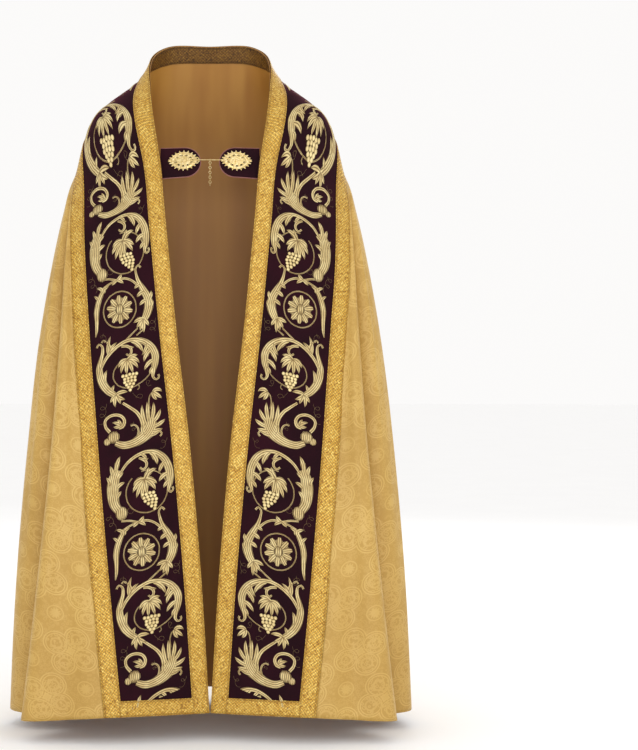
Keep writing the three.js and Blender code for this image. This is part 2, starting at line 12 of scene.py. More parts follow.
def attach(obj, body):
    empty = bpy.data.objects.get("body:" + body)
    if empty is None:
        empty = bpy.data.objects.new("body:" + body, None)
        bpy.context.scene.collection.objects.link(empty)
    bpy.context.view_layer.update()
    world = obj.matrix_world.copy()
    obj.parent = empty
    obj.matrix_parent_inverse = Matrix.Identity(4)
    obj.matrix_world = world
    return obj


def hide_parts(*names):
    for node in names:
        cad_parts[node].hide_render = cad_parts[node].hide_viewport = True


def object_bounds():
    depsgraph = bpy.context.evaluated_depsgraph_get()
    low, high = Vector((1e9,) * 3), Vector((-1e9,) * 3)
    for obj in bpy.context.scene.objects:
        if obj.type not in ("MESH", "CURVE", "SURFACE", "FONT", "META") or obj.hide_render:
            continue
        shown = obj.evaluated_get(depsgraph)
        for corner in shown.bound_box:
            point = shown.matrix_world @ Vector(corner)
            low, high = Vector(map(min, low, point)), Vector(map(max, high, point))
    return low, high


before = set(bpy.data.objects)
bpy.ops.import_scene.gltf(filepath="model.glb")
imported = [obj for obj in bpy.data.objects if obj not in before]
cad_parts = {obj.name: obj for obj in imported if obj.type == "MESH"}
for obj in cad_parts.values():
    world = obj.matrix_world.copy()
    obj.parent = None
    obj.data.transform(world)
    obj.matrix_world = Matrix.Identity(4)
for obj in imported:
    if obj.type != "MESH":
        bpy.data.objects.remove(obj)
cad_box = [list(corner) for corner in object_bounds()]
MM = 0.001

# ---- Sizes shared with the solid model ----
BAND_WIDTH = 220.0
INNER_GALLOON = 36.0
OUTER_GALLOON = 35.0
VELVET_MIDDLE = (INNER_GALLOON + BAND_WIDTH - OUTER_GALLOON) / 2
YOKE_GALLOON = 36.0
FOOT_GALLOON = 32.0
SHOULDER_ALONG = 377.0
OUTER_LENGTH = 1510.0
FRONT_DROP = 42.0
CORNER = 0.38
FALL_LENGTH = 1220.0
CLOTH = 1.5
LINING = 1.0
BRAID = 1.5
NECK_BRAID_ALONG = 197.0
ROLL = 0.35  # how far a galloon's face rises from its rolled edges
EDGE_STEPS = np.array([0, 0.8, 1.6, 2.6, 3.8])  # stations across a galloon's rolled edge

HOOD_HALF_WIDTH = 285.0
HOOD_DROP = 428.0
HOOD_CORNER = 95.0
HOOD_GALLOON = 34.0
HOOD_TOP = 1.5
HOOD_LIFT = 6.5
HOOD_ROOT = 2.2
FRINGE_SIDE = 27.0
FRINGE_FOOT = 40.0

TAB_LENGTH = 84.0
TAB_HALF_HEIGHT = 33.0
TAB_ALONG = 437.0
MEDALLION_AT = (49.0, 5.0)
MEDALLION_LENGTH = 56.0
MEDALLION_HEIGHT = 42.0
MEDALLION_STEPS = 45

# Cross lines of the band's right half: along | inner edge | middle | outer edge.
BAND = np.array([
    [0, 0, 75, 52, 0, 124, -47, 0, 168, -150],
    [85, 87, 70, 50.5, 87, 119, -53, 84, 163, -152],
    [140, 119, 36, 25, 134, 98, -61, 140, 150, -157],
    [184, 126, 0, -5, 164, 68, -66, 176, 130, -162],
    [235, 124.5, -30, -42, 192, 35, -70, 215, 100, -166],
    [286, 121, -60, -82, 214, 0, -84, 246, 66, -174],
    [360, 112, -93, -150, 222, -50, -122, 274, 14, -212],
    [432, 101, -120, -214, 200, -85, -240, 285, -28, -278],
    [550, 90, -135, -330, 191, -114, -355, 286, -74, -384],
    [773, 68.5, -145, -552, 172, -138, -576, 273, -118, -602],
    [1023, 40, -150, -800, 148, -158, -824, 255, -155, -849],
    [1254, 20, -160, -1030, 127, -175, -1053, 235, -182, -1077],
    [1552, 1.5, -170, -1327, 102, -195, -1349, 203, -214, -1371],
])
# Rings of the cloak: fall | along the band | side x, y, z | back y, z.
RINGS = np.array([
    [0.14, 486, 308, 15, -322, 190, -320],
    [0.33, 721, 349, 5, -551, 210, -548],
    [0.545, 980, 375, 0, -806, 226, -800],
    [0.715, 1185, 391, -5, -1009, 238, -1005],
    [1, 1510, 409, -10, -1348, 255, -1350],
])
SIDE_AT = 0.4
SQUARENESS = 0.82
ABOVE = 0.09
ABOVE_ACROSS = 110.0
# Folds: place at the hem | lean | out | width | start | growth.
FOLDS = [
    (0.815, 0.23, 26, 0.055, 0.05, 0.8),
    (0.712, 0.23, -104, 0.05, 0.05, 0.9),
    (0.6, 0.1, 12, 0.05, 0.1, 1),
    (0.372, 0.05, -82, 0.045, 0.16, 1),
    (0.29, 0.03, 22, 0.045, 0.2, 1),
    (0.16, 0, -11, 0.05, 0.42, 1.2),
    (0.07, 0, 7, 0.04, 0.5, 1.2),
    (-0.03, 0, -8, 0.05, 0.4, 1.2),
    (-0.13, 0, 8, 0.045, 0.5, 1.1),
    (-0.2, 0, -13, 0.045, 0.38, 1.1),
    (-0.295, -0.03, 20, 0.045, 0.22, 1),
    (-0.38, -0.05, -76, 0.047, 0.16, 1),
    (-0.59, -0.1, 10, 0.05, 0.1, 1),
    (-0.705, -0.23, -98, 0.052, 0.05, 0.9),
    (-0.81, -0.23, 28, 0.055, 0.05, 0.8),
    (0.925, 0.03, -9, 0.035, 0.3, 1.2),
    (-0.925, -0.03, -8, 0.038, 0.3, 1.2),
]
# Small creases of the cloth: place | lean | out | width | start | end, as shares of the fall.
CREASES = [
    (0.955, 0.02, 1.6, 0.012, 0.22, 0.62),
    (0.9, 0.1, -2.4, 0.016, 0.12, 0.5),
    (0.87, 0.16, 2.0, 0.014, 0.3, 1.2),
    (0.66, 0.15, -2.6, 0.018, 0.1, 0.7),
    (0.63, 0.06, 2.2, 0.014, 0.34, 1.2),
    (0.55, 0.05, -3.0, 0.02, 0.2, 0.9),
    (0.51, 0.02, 1.8, 0.016, 0.5, 1.2),
    (0.46, 0.05, 2.8, 0.018, 0.15, 0.75),
    (0.33, 0.02, -2.0, 0.016, 0.45, 1.2),
    (0.235, 0.01, 2.4, 0.018, 0.4, 1.2),
    (0.115, 0.01, 2.0, 0.02, 0.6, 1.2),
    (0.02, -0.01, -2.6, 0.022, 0.42, 0.95),
    (-0.08, 0.0, 2.2, 0.018, 0.5, 1.2),
    (-0.165, -0.01, -2.2, 0.016, 0.44, 1.2),
    (-0.25, -0.01, 2.6, 0.02, 0.42, 0.9),
    (-0.34, -0.03, -2.0, 0.014, 0.5, 1.2),
    (-0.45, -0.04, 2.6, 0.02, 0.18, 0.8),
    (-0.5, -0.03, -2.4, 0.016, 0.36, 1.2),
    (-0.56, -0.05, 2.0, 0.016, 0.22, 0.66),
    (-0.645, -0.12, -2.8, 0.018, 0.12, 0.82),
    (-0.87, -0.14, -2.0, 0.014, 0.28, 1.2),
    (-0.905, -0.08, 2.2, 0.018, 0.14, 0.56),
    (-0.96, -0.02, -1.6, 0.013, 0.3, 0.8),
]
# Soft waves of the front bands: along | across | out | length | width.
RIPPLES = [
    (640, 200, 1.8, 60, 60),
    (845, 210, -1.6, 70, 50),
    (1010, 190, 2.0, 80, 70),
    (1180, 215, -2.0, 60, 60),
    (1330, 200, 2.2, 70, 60),
    (1440, 90, -1.6, 60, 70),
    (-600, 205, -1.6, 70, 60),
    (-780, 200, 1.8, 60, 60),
    (-940, 212, -1.8, 60, 60),
    (-1120, 195, 2.0, 80, 70),
    (-1290, 210, -2.0, 60, 60),
    (-1420, 120, 1.6, 60, 70),
]


# ---- The form of the cloth ----
def through(stations, values, at):
    """A smooth curve through values at unevenly spaced stations, read at many places."""
    stations = np.asarray(stations, float)
    values = np.asarray(values, float)
    step = np.diff(stations)
    shape = (-1,) + (1,) * (values.ndim - 1)
    rise = np.diff(values, axis=0) / step.reshape(shape)
    slope = np.empty_like(values)
    slope[0] = rise[0]
    slope[-1] = rise[-1]
    before = step[:-1].reshape(shape)
    after = step[1:].reshape(shape)
    slope[1:-1] = (after * rise[:-1] + before * rise[1:]) / (after + before)
    i = np.clip(np.searchsorted(stations, at) - 1, 0, len(stations) - 2)
    h = step[i]
    t = (at - stations[i]) / h
    if values.ndim == 3:
        n = np.arange(len(at)) if values.shape[1] > 1 else np.zeros(len(at), int)
        low, high, slope_low, slope_high = values[i, n], values[i + 1, n], slope[i, n], slope[i + 1, n]
    else:
        low, high, slope_low, slope_high = values[i], values[i + 1], slope[i], slope[i + 1]
    if low.ndim == 2:
        t = t[:, None]
        h = h[:, None]
    return (
        (2 * t**3 - 3 * t**2 + 1) * low
        + (t**3 - 2 * t**2 + t) * h * slope_low
        + (3 * t**2 - 2 * t**3) * high
        + (t**3 - t**2) * h * slope_high
    )


mirrored_row = BAND[1] * [-1, -1, 1, 1, -1, 1, 1, -1, 1, 1]
BAND_ROWS = np.vstack([mirrored_row, BAND])


def plain_band(along, across):
    along = np.asarray(along, float)
    across = np.broadcast_to(np.asarray(across, float), along.shape)
    lines = through(BAND_ROWS[:, 0], BAND_ROWS[:, 1:], np.abs(along))
    w = (across / BAND_WIDTH)[:, None]
    p = (
        lines[:, 0:3] * (1 - w) * (1 - 2 * w)
        + lines[:, 3:6] * 4 * w * (1 - w)
        + lines[:, 6:9] * w * (2 * w - 1)
    )
    p[:, 0] *= np.where(along < 0, -1, 1)
    return p


def crossed(side, down):
    n = np.cross(side, down)
    return n / np.maximum(np.linalg.norm(n, axis=1), 1e-12)[:, None]


def band_out(along, across):
    step = 0.5
    side = plain_band(along + step, across) - plain_band(along - step, across)
    down = plain_band(along, across + step) - plain_band(along, across - step)
    return crossed(side, down)


def band_base(along, across):
    height = np.zeros_like(along)
    for at, wide, out, length, width in RIPPLES:
        height += out * np.exp(-(((along - at) / length) ** 2) - ((across - wide) / width) ** 2)
    return plain_band(along, across) + band_out(along, across) * height[:, None]


def on_band(flat):
    """Lays flat work on the band: x is along, y is across from the inner edge, z is the height."""
    along, across = flat[:, 0], flat[:, 1]
    return band_base(along, across) + band_out(along, across) * flat[:, 2:3]


def slanted(along, across):
    reach = np.abs(along) / OUTER_LENGTH
    return along + np.sign(along) * FRONT_DROP * (1 - across / BAND_WIDTH) * reach**4


def seam_along(fall):
    stations = np.concatenate([[0], RINGS[:, 0]])
    values = np.concatenate([[SHOULDER_ALONG], RINGS[:, 1]])
    return through(stations, values, np.asarray(fall, float))


def ring_points(u):
    """Each ring's points for every u, from the band (0) round the side to the middle back (1)."""
    first = u < SIDE_AT
    turn = np.where(first, u / SIDE_AT, (u - SIDE_AT) / (1 - SIDE_AT)) * math.pi / 2
    sine = np.maximum(np.sin(turn), 0)
    s = sine**SQUARENESS
    c = np.maximum(np.cos(turn), 0) ** SQUARENESS
    seams = plain_band(RINGS[:, 1], BAND_WIDTH)
    rows = []
    for ring, seam in zip(RINGS, seams):
        side_x, side_y, side_z, back_y, back_z = ring[2:]
        front = np.stack([
            seam[0] + (side_x - seam[0]) * s,
            side_y + (seam[1] - side_y) * c,
            seam[2] + (side_z - seam[2]) * sine,
        ], axis=1)
        back = np.stack([
            side_x * c,
            side_y + (back_y - side_y) * s,
            side_z + (back_z - side_z) * sine,
        ], axis=1)
        rows.append(np.where(first[:, None], front, back))
    return rows


def plain_cloak(place, fall):
    u = 1 - np.abs(place)
    top = SHOULDER_ALONG * np.minimum(1, (1 - u) / (1 - CORNER))
    stations = np.concatenate([[-ABOVE, 0], RINGS[:, 0]])
    above = BAND_WIDTH - ABOVE_ACROSS
    rows = [plain_band(top, above), plain_band(top, BAND_WIDTH), *ring_points(u)]
    p = through(stations, np.stack(rows), fall)
    zero = np.zeros_like(u)
    corner = zero + SHOULDER_ALONG
    seam_rows = [plain_band(corner, above), plain_band(corner, BAND_WIDTH), *ring_points(zero)]
    drawn = through(stations, np.stack(seam_rows), fall)
    to_seam = plain_band(seam_along(fall), BAND_WIDTH) - drawn
    p += to_seam * np.exp(-((u / 0.08) ** 2))[:, None]
    p[:, 0] *= np.where(place < 0, -1, 1)
    return p


def eased(x):
    x = np.clip(x, 0, 1)
    return x * x * (3 - 2 * x)


def fold_height(place, fall):
    height = np.zeros_like(place)
    for at, lean, out, width, start, growth in FOLDS:
        grown = np.maximum((fall - start) / (1 - start), 0) ** growth
        away = (place - at - lean * (1 - fall)) / width
        height += out * grown * np.exp(-(away**2))
    for at, lean, out, width, start, end in CREASES:
        grown = eased((fall - start) / 0.2) * eased((end - fall) / 0.2)
        away = (place - at - lean * (1 - fall)) / width
        height += out * grown * np.exp(-(away**2))
    return height * eased((1 - np.abs(place)) / 0.05)


def cloak_base(place, fall):
    step = 1e-3
    side = plain_cloak(place + step, fall) - plain_cloak(place - step, fall)
    down = plain_cloak(place, fall + step) - plain_cloak(place, fall - step)
    return plain_cloak(place, fall) + crossed(side, down) * fold_height(place, fall)[:, None]


def leaned(place, fall):
    u = 1 - np.abs(place)
    moved = 0.23 * (1 - fall)
    knots = [0, 0.185, 0.288, 0.42, 1]
    flat = 0 * fall
    here = [flat, np.maximum(0.11, 0.185 - moved), np.maximum(0.2, 0.288 - moved), flat + 0.42, flat + 1]
    made = np.zeros_like(u)
    for k in range(4):
        part = (u - knots[k]) / (knots[k + 1] - knots[k])
        inside = (u >= knots[k]) if k else (u >= -1)
        made = np.where(inside, here[k] + part * (here[k + 1] - here[k]), made)
    return np.sign(place) * (1 - made)


ARC_STEPS = 60
ARC_FALLS = np.linspace(0.0008, 0.42, 44)


def make_arcs():
    places = np.linspace(0, 0.9, ARC_STEPS + 1)
    rows = []
    for fall in ARC_FALLS:
        p = cloak_base(places, np.full_like(places, fall))
        rows.append(np.concatenate([[0], np.cumsum(np.linalg.norm(np.diff(p, axis=0), axis=1))]))
    return places, rows


ARC_PLACES, ARCS = make_arcs()


def place_at(round_, fall):
    at = np.clip(np.interp(fall, ARC_FALLS, np.arange(len(ARC_FALLS))), 0, len(ARC_FALLS) - 1.001)
    row = at.astype(int)
    made = np.zeros_like(round_)
    for k in np.unique(row):
        here = row == k
        want = np.abs(round_[here])
        low = np.interp(want, ARCS[k], ARC_PLACES)
        high = np.interp(want, ARCS[k + 1], ARC_PLACES)
        made[here] = low + (high - low) * (at[here] - k)
    return made * np.sign(round_)


def on_hood(flat):
    """Lays flat work on the hood: x is round the back, y is down from the band, z is the height."""
    fall = np.maximum(flat[:, 1], 1) / FALL_LENGTH
    place = place_at(flat[:, 0], fall)
    step = 2e-3
    side = cloak_base(place + step, fall) - cloak_base(place - step, fall)
    down = cloak_base(place, fall + step) - cloak_base(place, fall - step)
    grown = np.clip(flat[:, 1] / 70, 0, 1)
    rest = HOOD_ROOT + (HOOD_LIFT - HOOD_ROOT) * grown * (2 - grown)
    return cloak_base(place, fall) + crossed(side, down) * (rest + flat[:, 2])[:, None]


# The right tab's own frame: x towards the middle of the chest, y up, z out of its face.
def unit(v):
    return np.asarray(v, float) / np.linalg.norm(v)


TAB_INWARD = unit([-1, -0.16, 0])
edge_above = plain_band(np.array([TAB_ALONG - 32.0]), 0)[0]
edge_below = plain_band(np.array([TAB_ALONG + 32.0]), 0)[0]
TAB_OUT = unit(np.cross(edge_above - edge_below, TAB_INWARD))
TAB_UP = unit(np.cross(TAB_INWARD, TAB_OUT))
TAB_ROOT = plain_band(np.array([TAB_ALONG]), 3)[0] - 9 * TAB_OUT


def on_tab(side):
    def place(flat):
        p = TAB_ROOT + flat[:, 0:1] * TAB_INWARD + flat[:, 1:2] * TAB_UP + flat[:, 2:3] * TAB_OUT
        return p * [side, 1, 1]

    return place


# ---- Making pieces ----
def cut_layer(bm, name="Cut"):
    return bm.loops.layers.uv.get(name) or bm.loops.layers.uv.new(name)


def stitching():
    """An empty work that holds a stroke's cut and its rim."""
    bm = bmesh.new()
    cut_layer(bm)
    cut_layer(bm, "Rim")
    return bm


def faces_of(verts):
    return {face for vert in verts for face in vert.link_faces}


def mesh_from(name, bm):
    mesh = bpy.data.meshes.new(name)
    bm.to_mesh(mesh)
    bm.free()
    return mesh


def put(name, data):
    """A new object in the scene."""
    made = bpy.data.objects.new(name, data)
    bpy.context.scene.collection.objects.link(made)
    return made


def net(bm, xs, ys, height=0.0):
    """A flat net of faces at the given stations. Returns its vertices, with x changing first."""
    made = bmesh.ops.create_grid(bm, x_segments=len(xs) - 1, y_segments=len(ys) - 1, size=1)["verts"]
    for k, vert in enumerate(made):
        vert.co = (xs[k % len(xs)], ys[k // len(xs)], height)
    return made


def vertices_of(mesh):
    found = np.empty(len(mesh.vertices) * 3, np.float32)
    mesh.vertices.foreach_get("co", found)
    return found.reshape(-1, 3).astype(float)


def set_vertices(mesh, positions):
    mesh.vertices.foreach_set("co", np.asarray(positions, np.float32).ravel())
    mesh.update()


def set_uv(mesh, flat_uv):
    layer = mesh.uv_layers.get("Cut") or mesh.uv_layers.new(name="Cut")
    index = np.empty(len(mesh.loops), np.int32)
    mesh.loops.foreach_get("vertex_index", index)
    layer.data.foreach_set("uv", np.asarray(flat_uv, np.float32)[index].ravel())


def piece_from(name, bm, lay=None, uv=None, weld=0.0, faces_in=False):
    """A piece from flat work: uv reads the flat positions, and lay puts them on the form."""
    mesh = mesh_from(name, bm)
    flat = vertices_of(mesh)
    if uv is not None:
        set_uv(mesh, uv(flat))
    if lay is not None:
        flat = lay(flat)
    set_vertices(mesh, flat * MM)
    if weld or faces_in:
        work = bmesh.new()
        work.from_mesh(mesh)
        if weld:
            bmesh.ops.remove_doubles(work, verts=work.verts, dist=weld * MM)
        if faces_in:
            bmesh.ops.reverse_faces(work, faces=work.faces)
        work.to_mesh(mesh)
        work.free()
    mesh.shade_smooth()
    return put(name, mesh)


def wall(piece, thickness, offset):
    """Gives a sheet its thickness: offset 1 grows it outwards, -1 inwards."""
    shell = piece.modifiers.new("wall", "SOLIDIFY")
    shell.thickness = thickness * MM
    shell.offset = offset
    shell.use_rim = True
    return piece


def finish(piece, material, nodes=(), body="cope"):
    piece.data.materials.clear()
    piece.data.materials.append(material)
    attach(piece, body)
    if nodes:
        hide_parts(*nodes)
    return piece


# ---- Finishes ----
def paint(red, green, blue):
    """A colour from 0 to 255, as the shader wants it."""
    linear = [((c / 255 + 0.055) / 1.055) ** 2.4 if c > 10 else c / 255 / 12.92 for c in (red, green, blue)]
    return (*linear, 1.0)


class Field:
    """A number or a vector that varies over a surface."""

    def __init__(self, finish_, socket):
        self.finish = finish_
        self.socket = socket

    def math(self, operation, *others):
        inputs = {0: self}
        inputs.update({k + 1: other for k, other in enumerate(others)})
        return self.finish.node("ShaderNodeMath", inputs, operation=operation)

    def __add__(self, other):
        return self.math("ADD", other)

    def __mul__(self, other):
        return self.math("MULTIPLY", other)

    def __sub__(self, other):
        return self.math("SUBTRACT", other)

    def __rsub__(self, other):
        return self.finish.node("ShaderNodeMath", {0: other, 1: self}, operation="SUBTRACT")

    def __truediv__(self, other):
        return self.math("DIVIDE", other)

    def __abs__(self):
        return self.math("ABSOLUTE")

    __radd__ = __add__
    __rmul__ = __mul__


class Finish:
    """A material in the making."""

    def __init__(self, name):
        self.material = bpy.data.materials.new(name)
        self.material.use_nodes = True
        self.tree = self.material.node_tree
        self.shader = self.tree.nodes["Principled BSDF"]

    def node(self, kind, inputs=None, out=0, **settings):
        made = self.tree.nodes.new(kind)
        for key, value in settings.items():
            setattr(made, key, value)
        for key, value in (inputs or {}).items():
            if isinstance(value, Field):
                self.tree.links.new(value.socket, made.inputs[key])
            else:
                made.inputs[key].default_value = value
        return Field(self, made.outputs[out])

    def xy(self, vector):
        split = self.node("ShaderNodeSeparateXYZ", {0: vector}).socket.node
        return [Field(self, split.outputs[k]) for k in range(3)]

    def cut(self):
        return self.node("ShaderNodeUVMap", uv_map="Cut")

    def place(self):
        return self.node("ShaderNodeTexCoord", out="Object")

    def noise(self, vector, scale, detail=3.0, rough=0.55):
        inputs = {"Vector": vector, "Scale": scale, "Detail": detail, "Roughness": rough}
        return self.node("ShaderNodeTexNoise", inputs)

    def cells(self, vector, scale):
        return self.node("ShaderNodeTexVoronoi", {"Vector": vector, "Scale": scale}, feature="F1")

    def stretched(self, vector, scale):
        return self.node("ShaderNodeMapping", {"Vector": vector, "Scale": scale})

    def sine(self, phase):
        return phase.math("SINE")

    def step(self, field, low, high):
        """0 below low, 1 above high, eased in between."""
        inputs = {"Value": field, "From Min": low, "From Max": high}
        return self.node("ShaderNodeMapRange", inputs, interpolation_type="SMOOTHSTEP")

    def ridge(self, field, middle, half):
        """1 where the field is at middle, 0 beyond half away from it."""
        return 1 - self.step(abs(field - middle), half * 0.5, half)

    def mix(self, share, low, high):
        inputs = {0: share, 6: low, 7: high}
        return self.node("ShaderNodeMix", inputs, out=2, data_type="RGBA")

    def bump(self, height, strength, distance):
        inputs = {"Height": height, "Strength": strength, "Distance": distance}
        return self.node("ShaderNodeBump", inputs)

    def done(self, **sockets):
        for name, value in sockets.items():
            target = self.shader.inputs[name.replace("_", " ")]
            if isinstance(value, Field):
                self.tree.links.new(value.socket, target)
            else:
                target.default_value = value
        return self.material


def make_damask():
    f = Finish("damask")
    u, v, _ = f.xy(f.cut())
    wide, tall = 0.121, 0.113
    x = (u / wide).math("FRACT") - 0.5
    y = (v / tall).math("FRACT") - 0.5
    ax, ay = abs(x), abs(y)
    far = ax.math("MAXIMUM", ay)
    near = ax.math("MINIMUM", ay)
    away = far - 0.262
    round_lobe = (away * away + near * near).math("SQRT")
    lobe = round_lobe - 0.226
    outline = f.ridge(lobe, -0.012, 0.014).math("MAXIMUM", f.ridge(lobe, -0.052, 0.012))
    r = (x * x + y * y).math("SQRT")
    angle = y.math("ARCTAN2", x)
    petals = f.sine(angle * 8.0) * 0.035
    rosette = f.ridge(r + petals, 0.14, 0.022).math("MAXIMUM", 1 - f.step(r + petals * 0.6, 0.055, 0.075))
    buds = f.ridge(round_lobe, 0.09, 0.022)
    cx, cy = 0.5 - ax, 0.5 - ay
    rc = (cx * cx + cy * cy).math("SQRT")
    corner_angle = cy.math("ARCTAN2", cx)
    corner = 1 - f.step(rc + f.sine(corner_angle * 12.0) * 0.018, 0.075, 0.095)
    corner = corner.math("MAXIMUM", f.ridge(rc, 0.135, 0.014))
    inside = 1 - f.step(lobe, -0.07, -0.06)
    scroll = f.cells(f.cut(), 150.0)
    leafy = f.ridge(scroll, 0.42, 0.16)
    figure = outline.math("MAXIMUM", rosette * 0.8).math("MAXIMUM", buds * 0.7).math("MAXIMUM", corner * 0.8)
    figure = figure.math("MAXIMUM", leafy * (0.35 + inside * 0.45))
    rib = f.sine(v * 5200.0) * f.sine(u * 4200.0)
    speck = f.noise(f.cut(), 900.0, 2.0)
    soft = f.noise(f.place(), 5.0, 3.0)
    ground = f.mix(f.step(soft, 0.3, 0.7), paint(172, 135, 62), paint(182, 145, 70))
    raised = f.mix(f.step(soft, 0.3, 0.7), paint(200, 164, 88), paint(211, 177, 101))
    colour = f.mix(figure * 0.6, ground, raised)
    colour = f.mix(f.step(speck, 0.45, 0.75) * 0.35, colour, paint(160, 120, 52))
    height = figure * 0.9 + rib * 0.12 + speck * 0.25
    return f.done(
        Base_Color=colour,
        Roughness=0.56 - figure * 0.16 + speck * 0.1,
        Normal=f.bump(height, 0.35, 0.0006),
        Sheen_Weight=0.15,
        Sheen_Tint=paint(255, 225, 160),
        Specular_IOR_Level=0.45,
    )


def make_satin():
    f = Finish("satin")
    u, _, _ = f.xy(f.cut())
    weave = f.sine(u * 6000.0) * 0.5 + f.noise(f.stretched(f.cut(), (60.0, 4.0, 1.0)), 12.0, 3.0)
    # Painted sheen and shade: soft vertical bands of lighter and darker colour, as light falls across the
    # lining's drape.
    sheen_bands = f.noise(f.stretched(f.place(), (17.0, 7.0, 0.7)), 1.0, 2.0)
    colour = f.mix(f.step(sheen_bands, 0.32, 0.68), paint(158, 106, 38), paint(176, 126, 52))
    return f.done(
        Base_Color=colour,
        Roughness=0.48 + sheen_bands * 0.14,
        Normal=f.bump(weave, 0.12, 0.0003),
        Sheen_Weight=0.1,
        Sheen_Tint=paint(255, 225, 170),
    )


def make_velvet():
    f = Finish("velvet")
    pile = f.noise(f.place(), 1400.0, 2.0)
    stroke = f.noise(f.place(), 11.0, 4.0)
    colour = f.mix(f.step(stroke, 0.35, 0.75), paint(22, 2, 8), paint(36, 4, 15))
    colour = f.mix(f.step(pile, 0.4, 0.8) * 0.45, colour, paint(52, 8, 24))
    return f.done(
        Base_Color=colour,
        Roughness=0.82 + pile * 0.15,
        Normal=f.bump(pile + stroke * 0.6, 0.35, 0.0006),
        Sheen_Weight=0.26,
        Sheen_Roughness=0.35,
        Sheen_Tint=paint(190, 34, 88),
        Specular_IOR_Level=0.15,
    )


def make_braid(name, low, middle, high):
    """Galloon: the cut runs along in v and across in u, which is 0 to 1 from edge to edge. Low is the colour
    of its dark border lines and the painted shade between the strands, high is a painted highlight on flecks
    and raised eyes, also used faintly for the lozenge motif.
    """
    f = Finish(name)
    u, v, _ = f.xy(f.cut())
    across = u * 5.5
    along = v / 0.0066
    one = (across + along).math("FRACT") - 0.5
    other = (across - along).math("FRACT") - 0.5
    strands = f.ridge(one, 0.0, 0.24).math("MAXIMUM", f.ridge(other, 0.0, 0.24))
    eyes = f.step(abs(one) + abs(other), 0.66, 0.9)
    block = (v / 0.051).math("FRACT") - 0.5
    lozenge = abs(block) * 2.4 + abs(u - 0.5) * 2.6
    motif = f.ridge(lozenge, 0.62, 0.16).math("MAXIMUM", 1 - f.step(lozenge, 0.2, 0.3))
    edge = abs(u - 0.5)
    line = f.ridge(edge, 0.44, 0.024).math("MAXIMUM", f.ridge(edge, 0.385, 0.014))
    selvage = f.step(edge, 0.455, 0.47)
    thread = f.noise(f.stretched(f.cut(), (30.0, 1400.0, 1.0)), 1.0, 2.0)
    patch = f.noise(f.place(), 30.0, 4.0)
    glint_and_shade_fleck = f.noise(f.place(), 240.0, 2.0)
    # Painted shade: the low colour fills the recesses between the strands.
    colour = f.mix(strands, low, middle)
    # Painted highlights: bright flecks on the strands and on the raised eyes.
    colour = f.mix(f.step(glint_and_shade_fleck, 0.48, 0.68) * strands * (0.15 + patch * 0.9), colour, high)
    colour = f.mix(eyes * (0.2 + patch * 0.6), colour, high)
    # Painted shade: dark spots where the flecks' noise is low.
    colour = f.mix(f.step(glint_and_shade_fleck, 0.3, 0.46), low, colour)
    colour = f.mix(motif * 0.16, colour, high)
    colour = f.mix(line * 0.6, colour, low)
    height = strands * 1.0 + eyes * 0.6 + thread * 0.4 + selvage * 0.7 - line * 0.9 + motif * 0.3
    return f.done(
        Base_Color=colour,
        Roughness=0.5 - strands * 0.12 + patch * 0.1,
        Metallic=0.25,
        Normal=f.bump(height, 0.7, 0.001),
    )


def make_thread(name, low, middle, high, metal=0.25, pitch=4.0):
    """Embroidery: Cut holds millimetres across and along a stroke, Rim is 1 at its two edges. Low is painted
    shade in the grooves between threads and towards the rims, and a faint stitch texture; high is a painted
    highlight on the crests and in random patches.
    """
    f = Finish(name)
    u, v, _ = f.xy(f.cut())
    rim, _, _ = f.xy(f.node("ShaderNodeUVMap", uv_map="Rim"))
    wander = f.noise(f.place(), 90.0, 2.0)
    lines = (u / pitch + wander * 0.5 + 0.25).math("FRACT") - 0.5
    groove_painted_shade = f.ridge(lines, 0.0, 0.2)
    crest_painted_highlight = f.ridge(lines, 0.5, 0.3).math("MAXIMUM", f.ridge(lines, -0.5, 0.3))
    edge = f.step(abs(rim), 0.7, 0.98)
    stitch = f.sine(v * 9.0 + u * 5.0) * 0.5 + 0.5
    patch = f.noise(f.place(), 60.0, 2.0)
    # Painted highlight on the crests between the thread lines, and in random patches.
    colour = f.mix(f.step(patch, 0.35, 0.7) * 0.5 + crest_painted_highlight * 0.5, middle, high)
    # Painted shade in the grooves between the threads.
    colour = f.mix(groove_painted_shade * 0.7, colour, low)
    # Painted shade towards the stroke's rims, where it turns down into the velvet.
    colour = f.mix(edge * 0.65, colour, low)
    colour = f.mix(stitch * 0.12, colour, low)
    height = stitch * 0.3 - groove_painted_shade * 1.0
    return f.done(
        Base_Color=colour,
        Roughness=0.44 + groove_painted_shade * 0.2,
        Metallic=metal,
        Normal=f.bump(height, 0.7, 0.0008),
    )


def make_bullion():
    f = Finish("bullion")
    x, _, z = f.xy(f.place())
    twist = f.sine(z * 3400.0 + x * 2200.0) * 0.5 + 0.5
    strand = f.noise(f.stretched(f.place(), (330.0, 160.0, 22.0)), 1.0, 1.0)
    colour = f.mix(f.step(strand, 0.36, 0.64), paint(112, 82, 38), paint(206, 176, 114))
    colour = f.mix(twist * 0.35, colour, paint(86, 62, 28))
    return f.done(
        Base_Color=colour,
        Roughness=0.42 + strand * 0.15,
        Metallic=0.3,
        Normal=f.bump(twist, 0.5, 0.0004),
    )


def make_gilt():
    f = Finish("gilt")
    wear = f.noise(f.place(), 300.0, 3.0)
    colour = f.mix(f.step(wear, 0.35, 0.7), paint(206, 178, 112), paint(236, 218, 168))
    return f.done(
        Base_Color=colour,
        Roughness=0.26 + wear * 0.18,
        Metallic=0.8,
        Normal=f.bump(wear, 0.12, 0.0003),
    )


DAMASK = make_damask()
SATIN = make_satin()
VELVET = make_velvet()
# Braid colours: painted shade, the gold of the strands, painted highlight.
GALLOON = make_braid("braid", paint(136, 92, 18), paint(206, 158, 50), paint(250, 222, 124))
